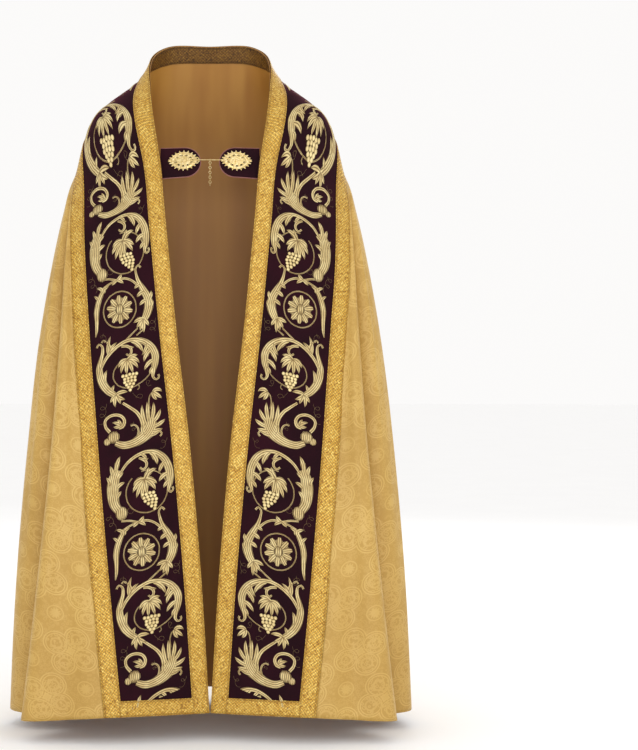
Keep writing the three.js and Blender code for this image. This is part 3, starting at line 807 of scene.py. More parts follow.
# A darker copy of the braid finish for the galloon inside the neck: painted shade, as it lies in the cope's
# shadow.
NECK_BRAID_IN_PAINTED_SHADE = make_braid("neck_braid_in_painted_shade", paint(66, 40, 8), paint(122, 82, 24), paint(166, 122, 46))
# Each thread: painted shade, its own colour, painted highlight.
GOLD = make_thread("gold_thread", paint(78, 52, 22), paint(184, 156, 98), paint(232, 212, 154))
SILVER = make_thread("silver_thread", paint(170, 168, 170), paint(222, 222, 226), paint(250, 250, 250), 0.1)
ROSE = make_thread("rose_thread", paint(110, 60, 60), paint(168, 112, 100), paint(200, 150, 130), 0.2)
BULLION = make_bullion()
GILT = make_gilt()

# ---- Cloak, lining, band and galloons ----
BACK_STEPS = 88
CORNER_STEPS = 96
FALL_STEPS = 120


def both_ways(half):
    return np.concatenate([-half[:0:-1], half])


def places_round(back_steps, corner_steps):
    """Places round the cloak, which lie closer together from the shoulders to the fronts."""
    back = np.linspace(0, 1 - CORNER, back_steps + 1)
    corner = np.linspace(1 - CORNER, 1, corner_steps + 1)[1:]
    return both_ways(np.concatenate([back, corner]))


places = places_round(BACK_STEPS, CORNER_STEPS)
falls = np.linspace(0, 1, FALL_STEPS + 1)

CUT_NECK = 509.0  # the cut's radius where the cloak meets the band


def on_cloak(flat):
    return cloak_base(leaned(flat[:, 0], flat[:, 1]), flat[:, 1])


def cloak_cut(xs, ys):
    """Where each point of the cloak's net lies in the cut, from its true distance round the ring."""

    def cut(flat):
        form = on_cloak(flat).reshape(len(ys), len(xs), 3)
        apart = np.linalg.norm(np.diff(form, axis=1), axis=2)
        arcs = np.concatenate([np.zeros((len(ys), 1)), np.cumsum(apart, axis=1)], axis=1)
        arcs -= arcs[:, len(xs) // 2][:, None]
        radius = CUT_NECK + FALL_LENGTH * flat[:, 1]
        turn = arcs.ravel() / radius
        return np.stack([radius * np.sin(turn), -radius * np.cos(turn)], axis=1) * MM

    return cut


bm = bmesh.new()
net(bm, places, falls)
cloak = piece_from("cloak", bm, on_cloak, cloak_cut(places, falls), weld=0.05)
finish(wall(cloak, CLOTH, 1), DAMASK, ["mantle"])


def band_stations(count_back, fall_rows):
    shoulder = np.linspace(0, SHOULDER_ALONG, count_back + 1)
    return both_ways(np.concatenate([shoulder, seam_along(fall_rows[1:])]))


def band_net(bm, alongs, acrosses, height=0.0):
    for vert in net(bm, alongs, acrosses, height):
        vert.co.x = slanted(np.array(vert.co.x), vert.co.y)


def band_cut(flat):
    return np.stack([flat[:, 1], flat[:, 0]], axis=1) * MM


def strip_cut(low, high):
    def cut(flat):
        return np.stack([(flat[:, 1] - low) / (high - low), flat[:, 0] * MM], axis=1)

    return cut


band_alongs = band_stations(60, np.linspace(0, 1, 181))
bm = bmesh.new()
band_net(bm, band_alongs, np.linspace(0, BAND_WIDTH, 23), CLOTH)
orphrey = piece_from("orphrey_velvet", bm, on_band, band_cut)
finish(wall(orphrey, CLOTH, -1), VELVET, ["orphrey"])


def crowned(across, low, high):
    """A galloon's face: it rolls down at both edges and has a ridge just inside them."""
    t = (across - low) / (high - low)
    edge = np.minimum(t, 1 - t) * (high - low)
    return 0.35 * eased(edge / 1.6) + 0.25 * np.exp(-(((edge - 2.6) / 0.9) ** 2))


def galloon(name, alongs, low, high, node, material=GALLOON, under=False):
    """A galloon along the band. One that is under lies inside, on the lining."""
    bm = bmesh.new()
    inner = np.linspace(low + 5, high - 5, 12)
    acrosses = np.concatenate([low + EDGE_STEPS, inner, high - EDGE_STEPS[::-1]])
    for vert in net(bm, alongs, acrosses):
        across = vert.co.y
        vert.co.x = slanted(np.array(vert.co.x), across)
        vert.co.z = CLOTH + BRAID - ROLL + crowned(across, low, high)
        if under:
            vert.co.z = -(LINING + 1.9 + crowned(across, low, high))
    strip = piece_from(name, bm, on_band, strip_cut(low, high), faces_in=under)
    return finish(wall(strip, BRAID - 0.2, -1), material, [node])


seam_from = BAND_WIDTH - OUTER_GALLOON
inner_braid = galloon("galloon_front", band_alongs, 0, INNER_GALLOON, "galloon_inner")
outer_braid = galloon("galloon_seam", band_alongs, seam_from, BAND_WIDTH + 1.4, "galloon_outer")
neck_alongs = band_alongs[np.abs(band_alongs) <= NECK_BRAID_ALONG + 0.1]
# The galloon inside the neck takes the darker braid finish: painted shade.
neck_braid_in_painted_shade = galloon("galloon_neck_inside", neck_alongs, 0.5, INNER_GALLOON, "galloon_neck", NECK_BRAID_IN_PAINTED_SHADE, True)


def cross_galloon(name, low, high, slope, node):
    """A short galloon across the band between the two long ones: from low to high along."""
    bm = bmesh.new()
    lengths = np.linspace(0, 1, 13)
    acrosses = np.linspace(INNER_GALLOON - 2, BAND_WIDTH - OUTER_GALLOON + 2, 60)
    width = abs(high - low)
    for vert in net(bm, lengths, acrosses):
        share, across = vert.co.x, vert.co.y
        foot = slanted(np.array(float(high)), across) if slope else high
        vert.co.x = foot - np.sign(high - low) * (1 - share) * width
        vert.co.z = CLOTH + BRAID - 0.45 + crowned(share * width, 0, width)
    shares = np.tile(lengths, len(acrosses))

    def cut(flat):
        return np.stack([shares, flat[:, 1] * MM], axis=1)

    strip = piece_from(name, bm, on_band, cut, faces_in=high < low)
    return finish(wall(strip, BRAID - 0.2, -1), GALLOON, [node])


foot_from = OUTER_LENGTH - FOOT_GALLOON
foot_right = cross_galloon("galloon_hem_right", foot_from, OUTER_LENGTH, True, "galloon_foot_right")
foot_left = cross_galloon("galloon_hem_left", -foot_from, -OUTER_LENGTH, True, "galloon_foot_left")
yoke_braid = cross_galloon("galloon_middle_back", -YOKE_GALLOON / 2, YOKE_GALLOON / 2, False, "galloon_yoke")


def make_lining():
    back = 30
    rows = np.linspace(0, 1, 91)
    columns = places_round(back, 40)
    body = bmesh.new()
    net(body, columns, rows)
    cloth = piece_from("lining_satin", body, on_cloak, cloak_cut(columns, rows))
    band = bmesh.new()
    band_net(band, band_stations(back, rows), np.linspace(0, BAND_WIDTH, 12))
    edge = piece_from("lining_band", band, on_band, band_cut)
    both = bmesh.new()
    both.from_mesh(cloth.data)
    both.from_mesh(edge.data)
    bmesh.ops.remove_doubles(both, verts=both.verts, dist=0.5 * MM)
    both.normal_update()
    for vert in both.verts:
        vert.co -= vert.normal * 0.3 * MM
    both.to_mesh(cloth.data)
    both.free()
    bpy.data.objects.remove(edge)
    cloth.data.shade_smooth()
    return finish(wall(cloth, LINING, -1), SATIN, ["lining"])


lining = make_lining()

# ---- The hood ----
def hood_half(down):
    into = np.maximum(0, down - (HOOD_DROP - HOOD_CORNER)) / HOOD_CORNER
    return HOOD_HALF_WIDTH - HOOD_CORNER * (1 - np.sqrt(np.maximum(0, 1 - into**2)))


def hood_outline(extra, count=220):
    """Points [round, down] of the hood's edge from the left top round the foot to the right top."""
    corner = HOOD_CORNER + extra
    half = HOOD_HALF_WIDTH + extra
    foot = HOOD_DROP + extra
    side = foot - corner - HOOD_TOP
    bend = math.pi / 2 * corner
    middle = 2 * (half - corner)
    total = 2 * side + 2 * bend + middle
    points = []
    for s in np.linspace(0, total, count):
        back = s > total / 2
        d = total - s if back else s
        if d < side:
            x, y = -half, HOOD_TOP + d
        elif d < side + bend:
            turn = (d - side) / corner
            x, y = -half + corner * (1 - math.cos(turn)), foot - corner + corner * math.sin(turn)
        else:
            x, y = -half + corner + d - side - bend, foot
        points.append((-x if back else x, y))
    return np.array(points)


bm = bmesh.new()
bends = np.sin(np.linspace(0, math.pi / 2, 26)[1:])
straight_downs = np.linspace(HOOD_TOP, HOOD_DROP - HOOD_CORNER, 40)
downs = np.concatenate([straight_downs, HOOD_DROP - HOOD_CORNER * (1 - bends)])
rounds = np.linspace(-1, 1, 81)
for vert in net(bm, rounds, downs, CLOTH):
    vert.co.x *= float(hood_half(np.array(vert.co.y)))
hood = piece_from("hood_velvet", bm, on_hood, lambda flat: flat[:, :2] * MM)
finish(wall(hood, CLOTH, -1), VELVET, ["hood"])


def make_hood_galloon():
    count = 260
    middle_steps = np.linspace(5, HOOD_GALLOON - 5, 10)
    widths = np.concatenate([EDGE_STEPS, middle_steps, HOOD_GALLOON - EDGE_STEPS[::-1]])
    outer = hood_outline(0, count)
    inner = hood_outline(-HOOD_GALLOON, count)
    bm = bmesh.new()
    verts = net(bm, np.arange(count), widths)
    for k, vert in enumerate(verts):
        share = vert.co.y / HOOD_GALLOON
        along = outer[k % count] * (1 - share) + inner[k % count] * share
        rise = CLOTH + 0.2 + BRAID - ROLL + crowned(vert.co.y, 0, HOOD_GALLOON)
        vert.co = (along[0], along[1], rise)
    middle = hood_outline(-HOOD_GALLOON / 2, count)
    run = np.concatenate([[0], np.cumsum(np.linalg.norm(np.diff(middle, axis=0), axis=1))])

    def cut(flat):
        return np.stack([np.repeat(widths, count) / HOOD_GALLOON, np.tile(run, len(widths)) * MM], axis=1)

    strip = piece_from("galloon_round_hood", bm, on_hood, cut, faces_in=True)
    return finish(wall(strip, BRAID, -1), GALLOON, ["galloon_hood"])


hood_braid = make_hood_galloon()


# ---- Embroidery: drawn flat in millimetres, then laid on the velvet ----
def curve(points, spacing):
    """A smooth path through points: its points, their way, how far along each lies, and the knots."""
    points = np.asarray(points, float)
    knots = np.concatenate([[0], np.cumsum(np.linalg.norm(np.diff(points, axis=0), axis=1))])
    at = np.linspace(0, knots[-1], max(4, int(knots[-1] / spacing) + 1))
    path = through(knots, points, at)
    way = np.gradient(path, axis=0)
    way /= np.maximum(np.linalg.norm(way, axis=1), 1e-9)[:, None]
    return path, way, at, knots


def stroke(bm, points, widths, height=1.4, spacing=4.5, sides=4, base=0.0):
    """A raised satin stroke: a path, its width at each point, and its height in the middle."""
    path, way, at, knots = curve(points, spacing)
    if np.isscalar(widths):
        widths = [widths] * len(points)
    half = np.interp(at, knots, widths) / 2
    across = np.stack([-way[:, 1], way[:, 0]], axis=1)
    us = np.linspace(-1, 1, sides + 1)
    layer, rim = cut_layer(bm), cut_layer(bm, "Rim")
    first = len(bm.verts)
    verts = net(bm, us, at)
    for k, vert in enumerate(verts):
        i = k // len(us)
        u = us[k % len(us)]
        spot = path[i] + across[i] * u * half[i]
        rise = min(height, half[i] * 0.9) * math.sqrt(max(0, 1 - 0.96 * u * u))
        vert.co = (spot[0], spot[1], base + rise - 0.25)
    bm.verts.index_update()
    faces = faces_of(verts)
    for face in faces:
        for loop in face.loops:
            k = loop.vert.index - first
            i = k // len(us)
            loop[layer].uv = (us[k % len(us)] * half[i], at[i])
            loop[rim].uv = (us[k % len(us)], at[i] / at[-1])
    bmesh.ops.reverse_faces(bm, faces=list(faces))


def leaf(bm, base, tip, width, bend=0.0, height=1.3, base_height=0.0):
    """A pointed leaf from base to tip. bend moves its middle to the left of its way."""
    base = np.asarray(base, float)
    tip = np.asarray(tip, float)
    way = tip - base
    middle = (base + tip) / 2 + np.array([-way[1], way[0]]) * bend
    moved = middle - (base + tip) / 2
    points = [base, (base + middle) / 2 + moved * 0.35, middle, (middle + tip) / 2 + moved * 0.25, tip]
    stroke(bm, points, [width * 0.45, width * 0.9, width, width * 0.62, 0.3], height, 3.6, 4, base_height)


def ring(bm, centre, radius, width, count=30, start=0.0, turn=360.0):
    angles = np.radians(np.linspace(start, start + turn, count))
    points = [(centre[0] + radius * math.cos(a), centre[1] + radius * math.sin(a)) for a in angles]
    stroke(bm, points, width, 0.9, 5.0, 2)


def dome(bm, centre, size, base=0.0):
    """A round raised spot, shaded towards its rim."""
    layer, rim = cut_layer(bm), cut_layer(bm, "Rim")
    made = bmesh.ops.create_icosphere(bm, subdivisions=2, radius=1.0)["verts"]
    spread = size[0] if size[0] > 6 else 0.5
    for face in faces_of(made):
        for loop in face.loops:
            away = math.sqrt(max(0.0, 1 - loop.vert.co.z ** 2))
            # The cut across starts at 2, so a dome's middle falls on one of the thread's painted highlight
            # crests rather than its painted-shade grooves.
            loop[layer].uv = (2.0 + spread * loop.vert.co.x, spread * loop.vert.co.y)
            loop[rim].uv = (away, 0)
    bmesh.ops.scale(bm, vec=size, verts=made)
    bmesh.ops.translate(bm, vec=(centre[0], centre[1], base), verts=made)


def bead(bm, centre, radius, height=2.0, tall=1.0):
    dome(bm, centre, (radius, radius * tall, height))


def ribs(bm, top, middle, foot, width, raised, drop):
    """Five raised threads over a bead. Each end and the middle: x, y and how far apart the threads are."""
    for k in range(-2, 3):
        points = [(x + k * apart, y) for x, y, apart in (top, middle, foot)]
        stroke(bm, points, width, 0.6, 4, 2, raised - drop * abs(k))


def acanthus(bm, spine, widths, tips):
    """A leaf body with pointed lobes. tips: base on the body, tip, width, bend."""
    stroke(bm, spine, widths, 1.6, 4.0, 6)
    for base, tip, width, bend in tips:
        leaf(bm, base, tip, width, bend, 1.7, 0.1)


def cluster(bm, top, rows, lean=(0, 7.0), size=4.2, pitch=7.6):
    """Grapes in rows under a leaf: each row is how many grapes it has."""
    for k, count in enumerate(rows):
        for i in range(count):
            x = top[0] + lean[0] * k + (i - (count - 1) / 2) * pitch
            y = top[1] + lean[1] * k + 0.8 * math.sin(2.1 * i + k)
            dome(bm, (x, y), (size, size, size * 0.62), 0.2)


def fan(bm, base, tips, width):
    for tip, bend in tips:
        leaf(bm, base, tip, width, bend, 1.6, 0.3)


def scribble(bm, points):
    stroke(bm, points, 0.9, 0.35, 3.0, 2)


def curls(x, y, size, turns, lean=0.0):
    """A thin looping tendril that starts at x, y and runs down."""
    points = []
    for k in range(int(turns * 9)):
        a = k / 9 * 2 * math.pi
        points.append((x + lean * k + size * math.cos(a), y + k * size * 0.24 + size * math.sin(a)))
    return points


def grape_motif(bm):
    stroke(bm, [(55, 0), (44, 12), (24, 24), (6, 29), (-11, 26), (-24, 17), (-31, 2), (-27, -14),
                (-14, -25), (2, -27)], 2.4, 0.9, 5, 2)
    acanthus(
        bm,
        [(-28, 39), (-41, 28), (-52, 13), (-58, -5), (-59, -23), (-54, -40), (-49, -55), (-50, -68),
         (-57, -72), (-61, -66)],
        [10, 15, 18, 17, 14, 10, 7, 4.5, 4, 4.5],
        [((-48, 8), (-43, -17), 9, -0.12), ((-56, -14), (-62, -34), 6, 0.1), ((-36, 30), (-30, 16), 7, -0.1)],
    )
    acanthus(
        bm,
        [(-57, -20), (-43, -40), (-29, -52), (-10, -62), (10, -66), (27, -63), (44, -54), (56, -40),
         (61, -25), (59, -10), (54, 5), (52, 18), (57, 24), (64, 21), (63, 15)],
        [5, 7, 8, 8, 8, 10, 13, 16, 17, 15, 10, 5.5, 4, 4, 4.5],
        [((14, -63), (36, -36), 12, -0.14), ((54, -38), (36, -16), 11, 0.12), ((57, -16), (35, 1), 10, 0.12),
         ((55, -2), (45, 12), 7, 0.1), ((46, -52), (33, -30), 8, -0.1)],
    )
    for tip, bend in [((-42, -76), 0.2), ((-29, -84), -0.08), ((-16, -68), -0.12)]:
        leaf(bm, (-37, -45), tip, 8, bend, 1.4)
    stroke(bm, [(-41, -74), (-46, -78), (-50, -74)], [4, 3, 3.5], 1.0, 3, 2)
    stroke(bm, [(-10, -60), (9, -72), (30, -86)], [3, 3.5, 3], 1.0, 5, 2)
    acanthus(bm, [(-8, -57), (4, -55), (12, -47), (11, -39), (5, -36), (1, -40)], [5, 6, 6, 5, 4, 4],
             [((4, -55), (19, -50), 6, 0.1)])
    fan(bm, (2, -28), [((-19, -15), 0.2), ((-14, -3), 0.12), ((-2, 2), 0.05), ((11, 1), -0.05),
                       ((23, -6), -0.12), ((27, -16), -0.2), ((25, -33), -0.1)], 10)
    cluster(bm, (4, 3), [5, 4, 4, 3, 2, 1], (-0.4, 6.2), 3.9, 7.2)
    stroke(bm, [(20, 25), (21, 34), (17, 36)], 2, 0.8, 3, 2)
    fan(bm, (-28, 36), [((-3, 36), -0.1), ((-10, 50), 0.1), ((-32, 61), 0.1), ((-42, 50), 0.05),
                        ((-20, 57), 0)], 9)
    scribble(bm, curls(-56, 50, 6.5, 2.6, -0.3))
    scribble(bm, [(6, 40), (14, 50), (24, 54), (26, 49), (18, 46), (12, 52)])
    scribble(bm, [(40, 30), (44, 24), (38, 22), (40, 34), (46, 33)])


def volute_motif(bm):
    stroke(bm, [(-16, -54), (-1, -41), (11, -29), (19, -13), (21, 4)], [5, 6, 7, 8, 9], 1.3, 4, 4)
    acanthus(
        bm,
        [(41, -12), (37, 2), (29, 14), (15, 24), (-3, 30), (-22, 30), (-38, 22)],
        [12, 27, 29, 22, 17, 15, 11],
        [((27, -2), (23, -42), 10, -0.06), ((33, -6), (34, -46), 10, 0.0), ((39, -8), (47, -42), 10, 0.06),
         ((43, -4), (60, -26), 10, 0.08), ((42, 6), (67, -4), 10, 0.08), ((38, 14), (60, 14), 9, 0.05),
         ((22, 18), (20, -4), 8, -0.1)],
    )
    stroke(bm, [(30, 22), (44, 21), (54, 18), (57, 24), (53, 28)], [8, 6, 4, 3.5, 4], 1.2, 3.4, 4)
    stroke(bm, [(8, 18), (11, 8), (8, -2), (2, -6), (-4, -5)], [4, 4, 3.6, 3, 3.4], 1.1, 3.4, 3)
    bead(bm, (-55, 16), 7.5, 1.8)
    bead(bm, (-41, 10), 13, 2.4, 0.95)
    ribs(bm, (-41, -1, 3.2), (-41, 10, 5.4), (-41, 21, 3.2), 1.3, 2.0, 0.35)
    stroke(bm, [(-48, -2), (-56, -15), (-56, -26), (-47, -33), (-34, -34), (-21, -28), (-16, -18), (-20, -8),
                (-29, -6)], [7, 6, 6, 6, 6, 6, 7, 8, 6], 1.4, 4, 4)
    fan(bm, (-24, -10), [((-42, -20), 0.1), ((-30, -24), 0.05), ((-40, -11), -0.1)], 7)
    stroke(bm, [(38, -30), (38, -48), (43, -59), (50, -63)], [2.6, 2.6, 2.6, 2.6], 1.0, 4, 2)
    fan(bm, (48, -63), [((67, -59), -0.25), ((65, -46), -0.02), ((55, -45), 0.12)], 9)
    scribble(bm, curls(-2, -12, 4.5, 2.0, 0.3))
    scribble(bm, curls(62, 34, 5, 1.6, -0.5))


def vine_motif(bm):
    ring(bm, (16, 3), 42, 2.4, 30, -100, 330)
    acanthus(
        bm,
        [(-40, -52), (-47, -36), (-51, -18), (-52, 0), (-50, 16), (-43, 30)],
        [14, 24, 26, 24, 20, 17],
        [((-42, -48), (-31, -78), 11, -0.06), ((-50, -42), (-53, -63), 9, 0.05),
         ((-40, -34), (-27, -44), 9, -0.1), ((-42, -16), (-26, -24), 9, -0.12),
         ((-56, -24), (-63, -42), 8, 0.1), ((-44, 4), (-34, -8), 8, -0.1)],
    )
    bead(bm, (-38, 36), 12.5, 2.4, 1.15)
    ribs(bm, (-41, 25, 4.2), (-38, 36, 4.8), (-35, 47, 2.2), 1.2, 2.0, 0.35)
    acanthus(
        bm,
        [(-34, -44), (-19, -60), (1, -71), (23, -75), (41, -70), (55, -57), (63, -39), (65, -19), (63, -2),
         (60, 9), (63, 15), (69, 11), (68, 5)],
        [5, 6, 7, 8, 11, 14, 17, 17, 12, 6, 4, 4, 4.5],
        [((30, -72), (42, -45), 12, -0.12), ((58, -48), (44, -28), 10, 0.1), ((62, -24), (42, -11), 11, 0.12),
         ((62, -8), (50, 4), 8, 0.1), ((12, -72), (22, -60), 7, -0.1)],
    )
    acanthus(bm, [(6, -66), (15, -61), (21, -53), (19, -45), (12, -42), (7, -47)], [4, 6, 6, 5, 4, 4],
             [((12, -63), (26, -61), 6, 0.1)])
    fan(bm, (14, -22), [((24, -44), 0.1), ((40, -38), -0.15), ((-10, -14), 0.15), ((-12, 0), 0.12),
                        ((-6, 12), 0.05), ((4, 16), 0), ((38, -8), -0.1), ((34, 4), -0.1), ((16, 10), 0)], 12)
    cluster(bm, (18, 8), [4, 4, 4, 3, 2, 1], (2.2, 6.6), 3.9, 7.4)
    scribble(bm, curls(-66, 34, 6, 2.4, 0.5))
    scribble(bm, [(-16, 34), (-22, 28), (-26, 34), (-20, 40), (-12, 36)])


def rosette_motif(bm):
    stroke(bm, [(-40, -69), (-22, -66), (-6, -60), (10, -60), (26, -52), (36, -42)],
           [4, 4, 4.5, 4.5, 4.5, 5], 1.1, 5, 3)
    fan(bm, (-6, -60), [((6, -70), 0.1), ((8, -50), -0.1), ((-18, -52), 0.05)], 8)
    stroke(bm, [(-8, -60), (-24, -56), (-38, -50)], [4, 4, 5], 1.0, 5, 2)
    ring(bm, (-5, 0), 36, 2.6, 32, 0, 360)
    for k in range(10):
        a = math.radians(36 * k + 18)
        near = (-5 + 9 * math.cos(a), 9 * math.sin(a))
        far = (-5 + 28.5 * math.cos(a), 28.5 * math.sin(a))
        between = ((near[0] * 2 + far[0] * 3) / 5, (near[1] * 2 + far[1] * 3) / 5)
        stroke(bm, [near, between, far], [5, 14, 5], 1.5, 3.2, 4)
    bead(bm, (-5, 0), 8.5, 2.8, 1.35)
    ribs(bm, (-5, -11, 2), (-5, 0, 3.3), (-5, 11, 2), 1.1, 2.5, 0.4)
    acanthus(
        bm,
        [(48, -73), (43, -79), (37, -74), (37, -62), (40, -48), (48, -30), (56, -12), (58, 6), (52, 22),
         (44, 34)],
        [4.5, 4, 4, 5, 8, 13, 17, 20, 18, 12],
        [((44, -40), (30, -34), 8, 0.1), ((50, -24), (34, -16), 10, 0.1), ((54, -6), (38, 2), 9, 0.1),
         ((60, -6), (66, -22), 8, 0.1), ((60, 10), (67, -4), 8, 0.1)],
    )
    fan(bm, (44, 30), [((22, 34), 0.1), ((28, 46), 0.05), ((42, 58), 0), ((54, 46), -0.05),
                       ((34, 52), 0)], 10)
    bead(bm, (-38, -46), 7, 1.8)
    acanthus(bm, [(-41, -42), (-50, -26), (-56, -6), (-57, 14), (-59, 32), (-62, 44)],
             [10, 12, 12, 9, 6, 2], [((-50, -28), (-60, -40), 6, 0.1)])
    fan(bm, (-38, -46), [((-52, -54), 0.1), ((-24, -52), -0.1)], 7)
    stroke(bm, [(40, 52), (26, 60)], 3, 1.0, 4, 2)
    scribble(bm, curls(-50, 40, 5, 2.2, 0.6))
    scribble(bm, curls(64, 34, 6, 2.2, -0.2))


def drawn(draw):
    """A motif's mesh, drawn once for all its repeats."""
    bm = stitching()
    draw(bm)
    return mesh_from("motif", bm)


GRAPE = drawn(grape_motif)
VOLUTE = drawn(volute_motif)
VINE = drawn(vine_motif)
ROSETTE = drawn(rosette_motif)
# Which motif lies at each distance along the band. The yoke's two are turned over.
LAYOUT = [
    (VINE, 95, True), (ROSETTE, 218, True),
    (GRAPE, 386, False), (VOLUTE, 480, False), (VINE, 600, False), (ROSETTE, 714, False),
    (GRAPE, 846, False), (VOLUTE, 956, False), (VINE, 1084, False), (ROSETTE, 1204, False),
    (GRAPE, 1332, False), (VOLUTE, 1434, False), (VINE, 1560, False),
]
FOOT_CUT = OUTER_LENGTH - FOOT_GALLOON + 20  # the foot galloon covers what runs below it
FOOT_SLOPE = -0.16


def embroidery(name, side):
    """One half of the band's embroidery. side is 1 for the right half, -1 for the left."""
    bm = stitching()
    for motif, at, turned in LAYOUT:
        copy = motif.copy()
        flip = -1 if turned else 1
        # x of the motif points to the inner edge, and y runs down the band
        lay = Matrix(((0, side, 0, side * at), (-flip, 0, 0, VELVET_MIDDLE), (0, 0, 1, CLOTH), (0, 0, 0, 1)))
        copy.transform(lay)
        count = len(bm.faces)
        bm.from_mesh(copy)
        bm.faces.ensure_lookup_table()
        if side * flip < 0:
            bmesh.ops.reverse_faces(bm, faces=bm.faces[count:])
        bpy.data.meshes.remove(copy)
    geometry = bm.verts[:] + bm.edges[:] + bm.faces[:]
    bmesh.ops.bisect_plane(bm, geom=geometry, plane_co=(side * FOOT_CUT, VELVET_MIDDLE, 0),
                           plane_no=(side, FOOT_SLOPE, 0), clear_outer=True)
    return finish(piece_from(name, bm, on_band), GOLD)


stitched_right = embroidery("embroidery_right", 1)
stitched_left = embroidery("embroidery_left", -1)


def hood_design():
    """Generic ornament: a leaf wreath round a rosette, small lilies, and thin broken rays."""
    centre = (0.0, 205.0)

    def at(radius, degrees):
        a = math.radians(degrees)
        return (centre[0] + radius * math.cos(a), centre[1] + radius * math.sin(a))

    gold, silver, rays = stitching(), stitching(), stitching()
    for k in range(28):
        a = 360 / 28 * k
        side = 1 if math.cos(math.radians(a)) >= 0 else -1
        for radius, bend in ((86, -0.08), (100, 0.08)):
            leaf(gold, at(93, a), at(radius, a - side * 15), 8.5, bend, 1.7)
    ring(gold, centre, 93, 3.0, 60)
    ring(gold, centre, 66, 2.4, 48)
    for k in range(8):
        a = 45 * k + 22.5
        leaf(gold, at(14, a), at(60, a), 13, 0.0, 1.8)
    bead(gold, centre, 9, 3.0)
    for k in range(12):
        bead(gold, at(13, 30 * k), 2.6, 1.8)
    for a in (45, 135, 225, 315):
        leaf(gold, at(104, a), at(146, a), 13, 0.0, 1.8)
        leaf(gold, at(106, a - 2), at(134, a - 15), 10, 0.3, 1.7)
        leaf(gold, at(106, a + 2), at(134, a + 15), 10, -0.3, 1.7)
        stroke(gold, [at(114, a - 8), at(112, a), at(114, a + 8)], 4, 2.0, 4, 4)
    for k in range(8):
        a = 45 * k
        stroke(silver, [at(13, a), at(34, a), at(54, a)], [8, 24, 6], 2.2, 4, 6)
    for k in range(16):
        bead(silver, at(76, 22.5 * k), 4.6, 2.2)
    for k in range(72):
        a = 5 * k
        if abs((a % 90) - 45) < 14:
            continue
        reach = [150, 182, 160, 196][k % 4]
        start = [112, 118][k % 2]
        gap = start + (reach - start) * 0.55
        stroke(rays, [at(start, a), at(gap, a)], 1.1, 0.5, 20, 2)
        stroke(rays, [at(gap + 5, a), at(reach, a)], 0.9, 0.5, 20, 2)
    made = []
    work = [("hood_gold", gold, GOLD), ("hood_silver", silver, SILVER), ("hood_rays", rays, ROSE)]
    for name, bm, material in work:
        for vert in bm.verts:
            vert.co.z += CLOTH
        made.append(finish(piece_from(name, bm, on_hood), material))
    return made


hood_stitching = hood_design()


# ---- The fringe ----
def strand_mesh():
    bm = bmesh.new()
    bmesh.ops.create_cone(bm, cap_ends=True, segments=5, radius1=1.0, radius2=1.0, depth=1.0)
    long_edges = [e for e in bm.edges if abs(e.verts[0].co.z - e.verts[1].co.z) > 0.5]
    bmesh.ops.subdivide_edges(bm, edges=long_edges, cuts=7)
    for vert in bm.verts:
        share = vert.co.z + 0.5
        level = round(share * 8)
        turn = Matrix.Rotation(level * 0.5, 4, "Z")
        flat = turn @ Vector((vert.co.x, vert.co.y, 0))
        full = 1.12 if level % 2 else 0.86
        vert.co = (flat.x * full, flat.y * full, share)
    return mesh_from("strand", bm)


STRANDS = 560


def make_fringe():
    rng = random.Random(11)
    strand = strand_mesh()
    roots = hood_outline(1.0, STRANDS)
    tips = hood_outline(FRINGE_SIDE - 1.0, STRANDS)
    bm = bmesh.new()
    for k in range(STRANDS):
        for row in range(2):
            root = roots[k]
            nearby = min(max(k + rng.randint(-3, 3), 0), STRANDS - 1)
            out = tips[nearby] - root
            deep = (FRINGE_FOOT - FRINGE_SIDE) * max(0.0, min(1.0, (root[1] - 250) / 150))
            out = out + np.array([0, deep + 5.0]) * rng.uniform(0.75, 1.05)
            out *= rng.uniform(0.86, 1.0)
            lift = 1.6 * row + rng.uniform(-0.3, 0.5)
            start = Vector((root[0] - out[0] * 0.12, root[1] - out[1] * 0.12, lift + 0.4))
            way = Vector((out[0] * 1.08, out[1] * 1.08, rng.uniform(-1.2, 0.6)))
            turn = way.to_track_quat("Z", "Y").to_matrix().to_4x4()
            thick = rng.uniform(0.75, 1.0)
            fit = Matrix.Translation(start) @ turn @ Matrix.Diagonal((thick, thick, way.length, 1))
            first = len(bm.verts)
            bm.from_mesh(strand)
            bm.verts.ensure_lookup_table()
            bmesh.ops.transform(bm, matrix=fit, verts=bm.verts[first:])
    return finish(piece_from("bullion_fringe", bm, on_hood), BULLION, ["fringe"])


fringe = make_fringe()


# ---- The clasp ----
def tab_outline(inset=0.0, count=30):
    straight = TAB_LENGTH - TAB_HALF_HEIGHT
    half = TAB_HALF_HEIGHT - inset
    points = [(0, -half)]
    points += [(straight * k / 6, -half + 3 * k / 6) for k in range(1, 6)]
    for k in range(count + 1):
        a = -math.pi / 2 + math.pi * k / count
        points.append((straight + half * math.cos(a), (half - 3 * (1 - (k / count))) * math.sin(a)))
    points += [(straight * k / 6, half) for k in range(5, 0, -1)]
    points.append((0, half))
    return points


def tube(bm, points, radius, sides=8, spacing=1.5):
    """A round wire through points in space."""
    path, way, at, _ = curve(points, spacing)
    up = np.array([0.02, 0.03, 1.0])
    turns = np.linspace(0, 2 * math.pi, sides + 1)
    verts = net(bm, turns, at)
    for k, vert in enumerate(verts):
        i = k // len(turns)
        a = turns[k % len(turns)]
        side = unit(np.cross(way[i], up))
        over = np.cross(side, way[i])
        vert.co = Vector(path[i] + radius * (math.cos(a) * side + math.sin(a) * over))
    bmesh.ops.remove_doubles(bm, verts=verts, dist=radius * 0.05)


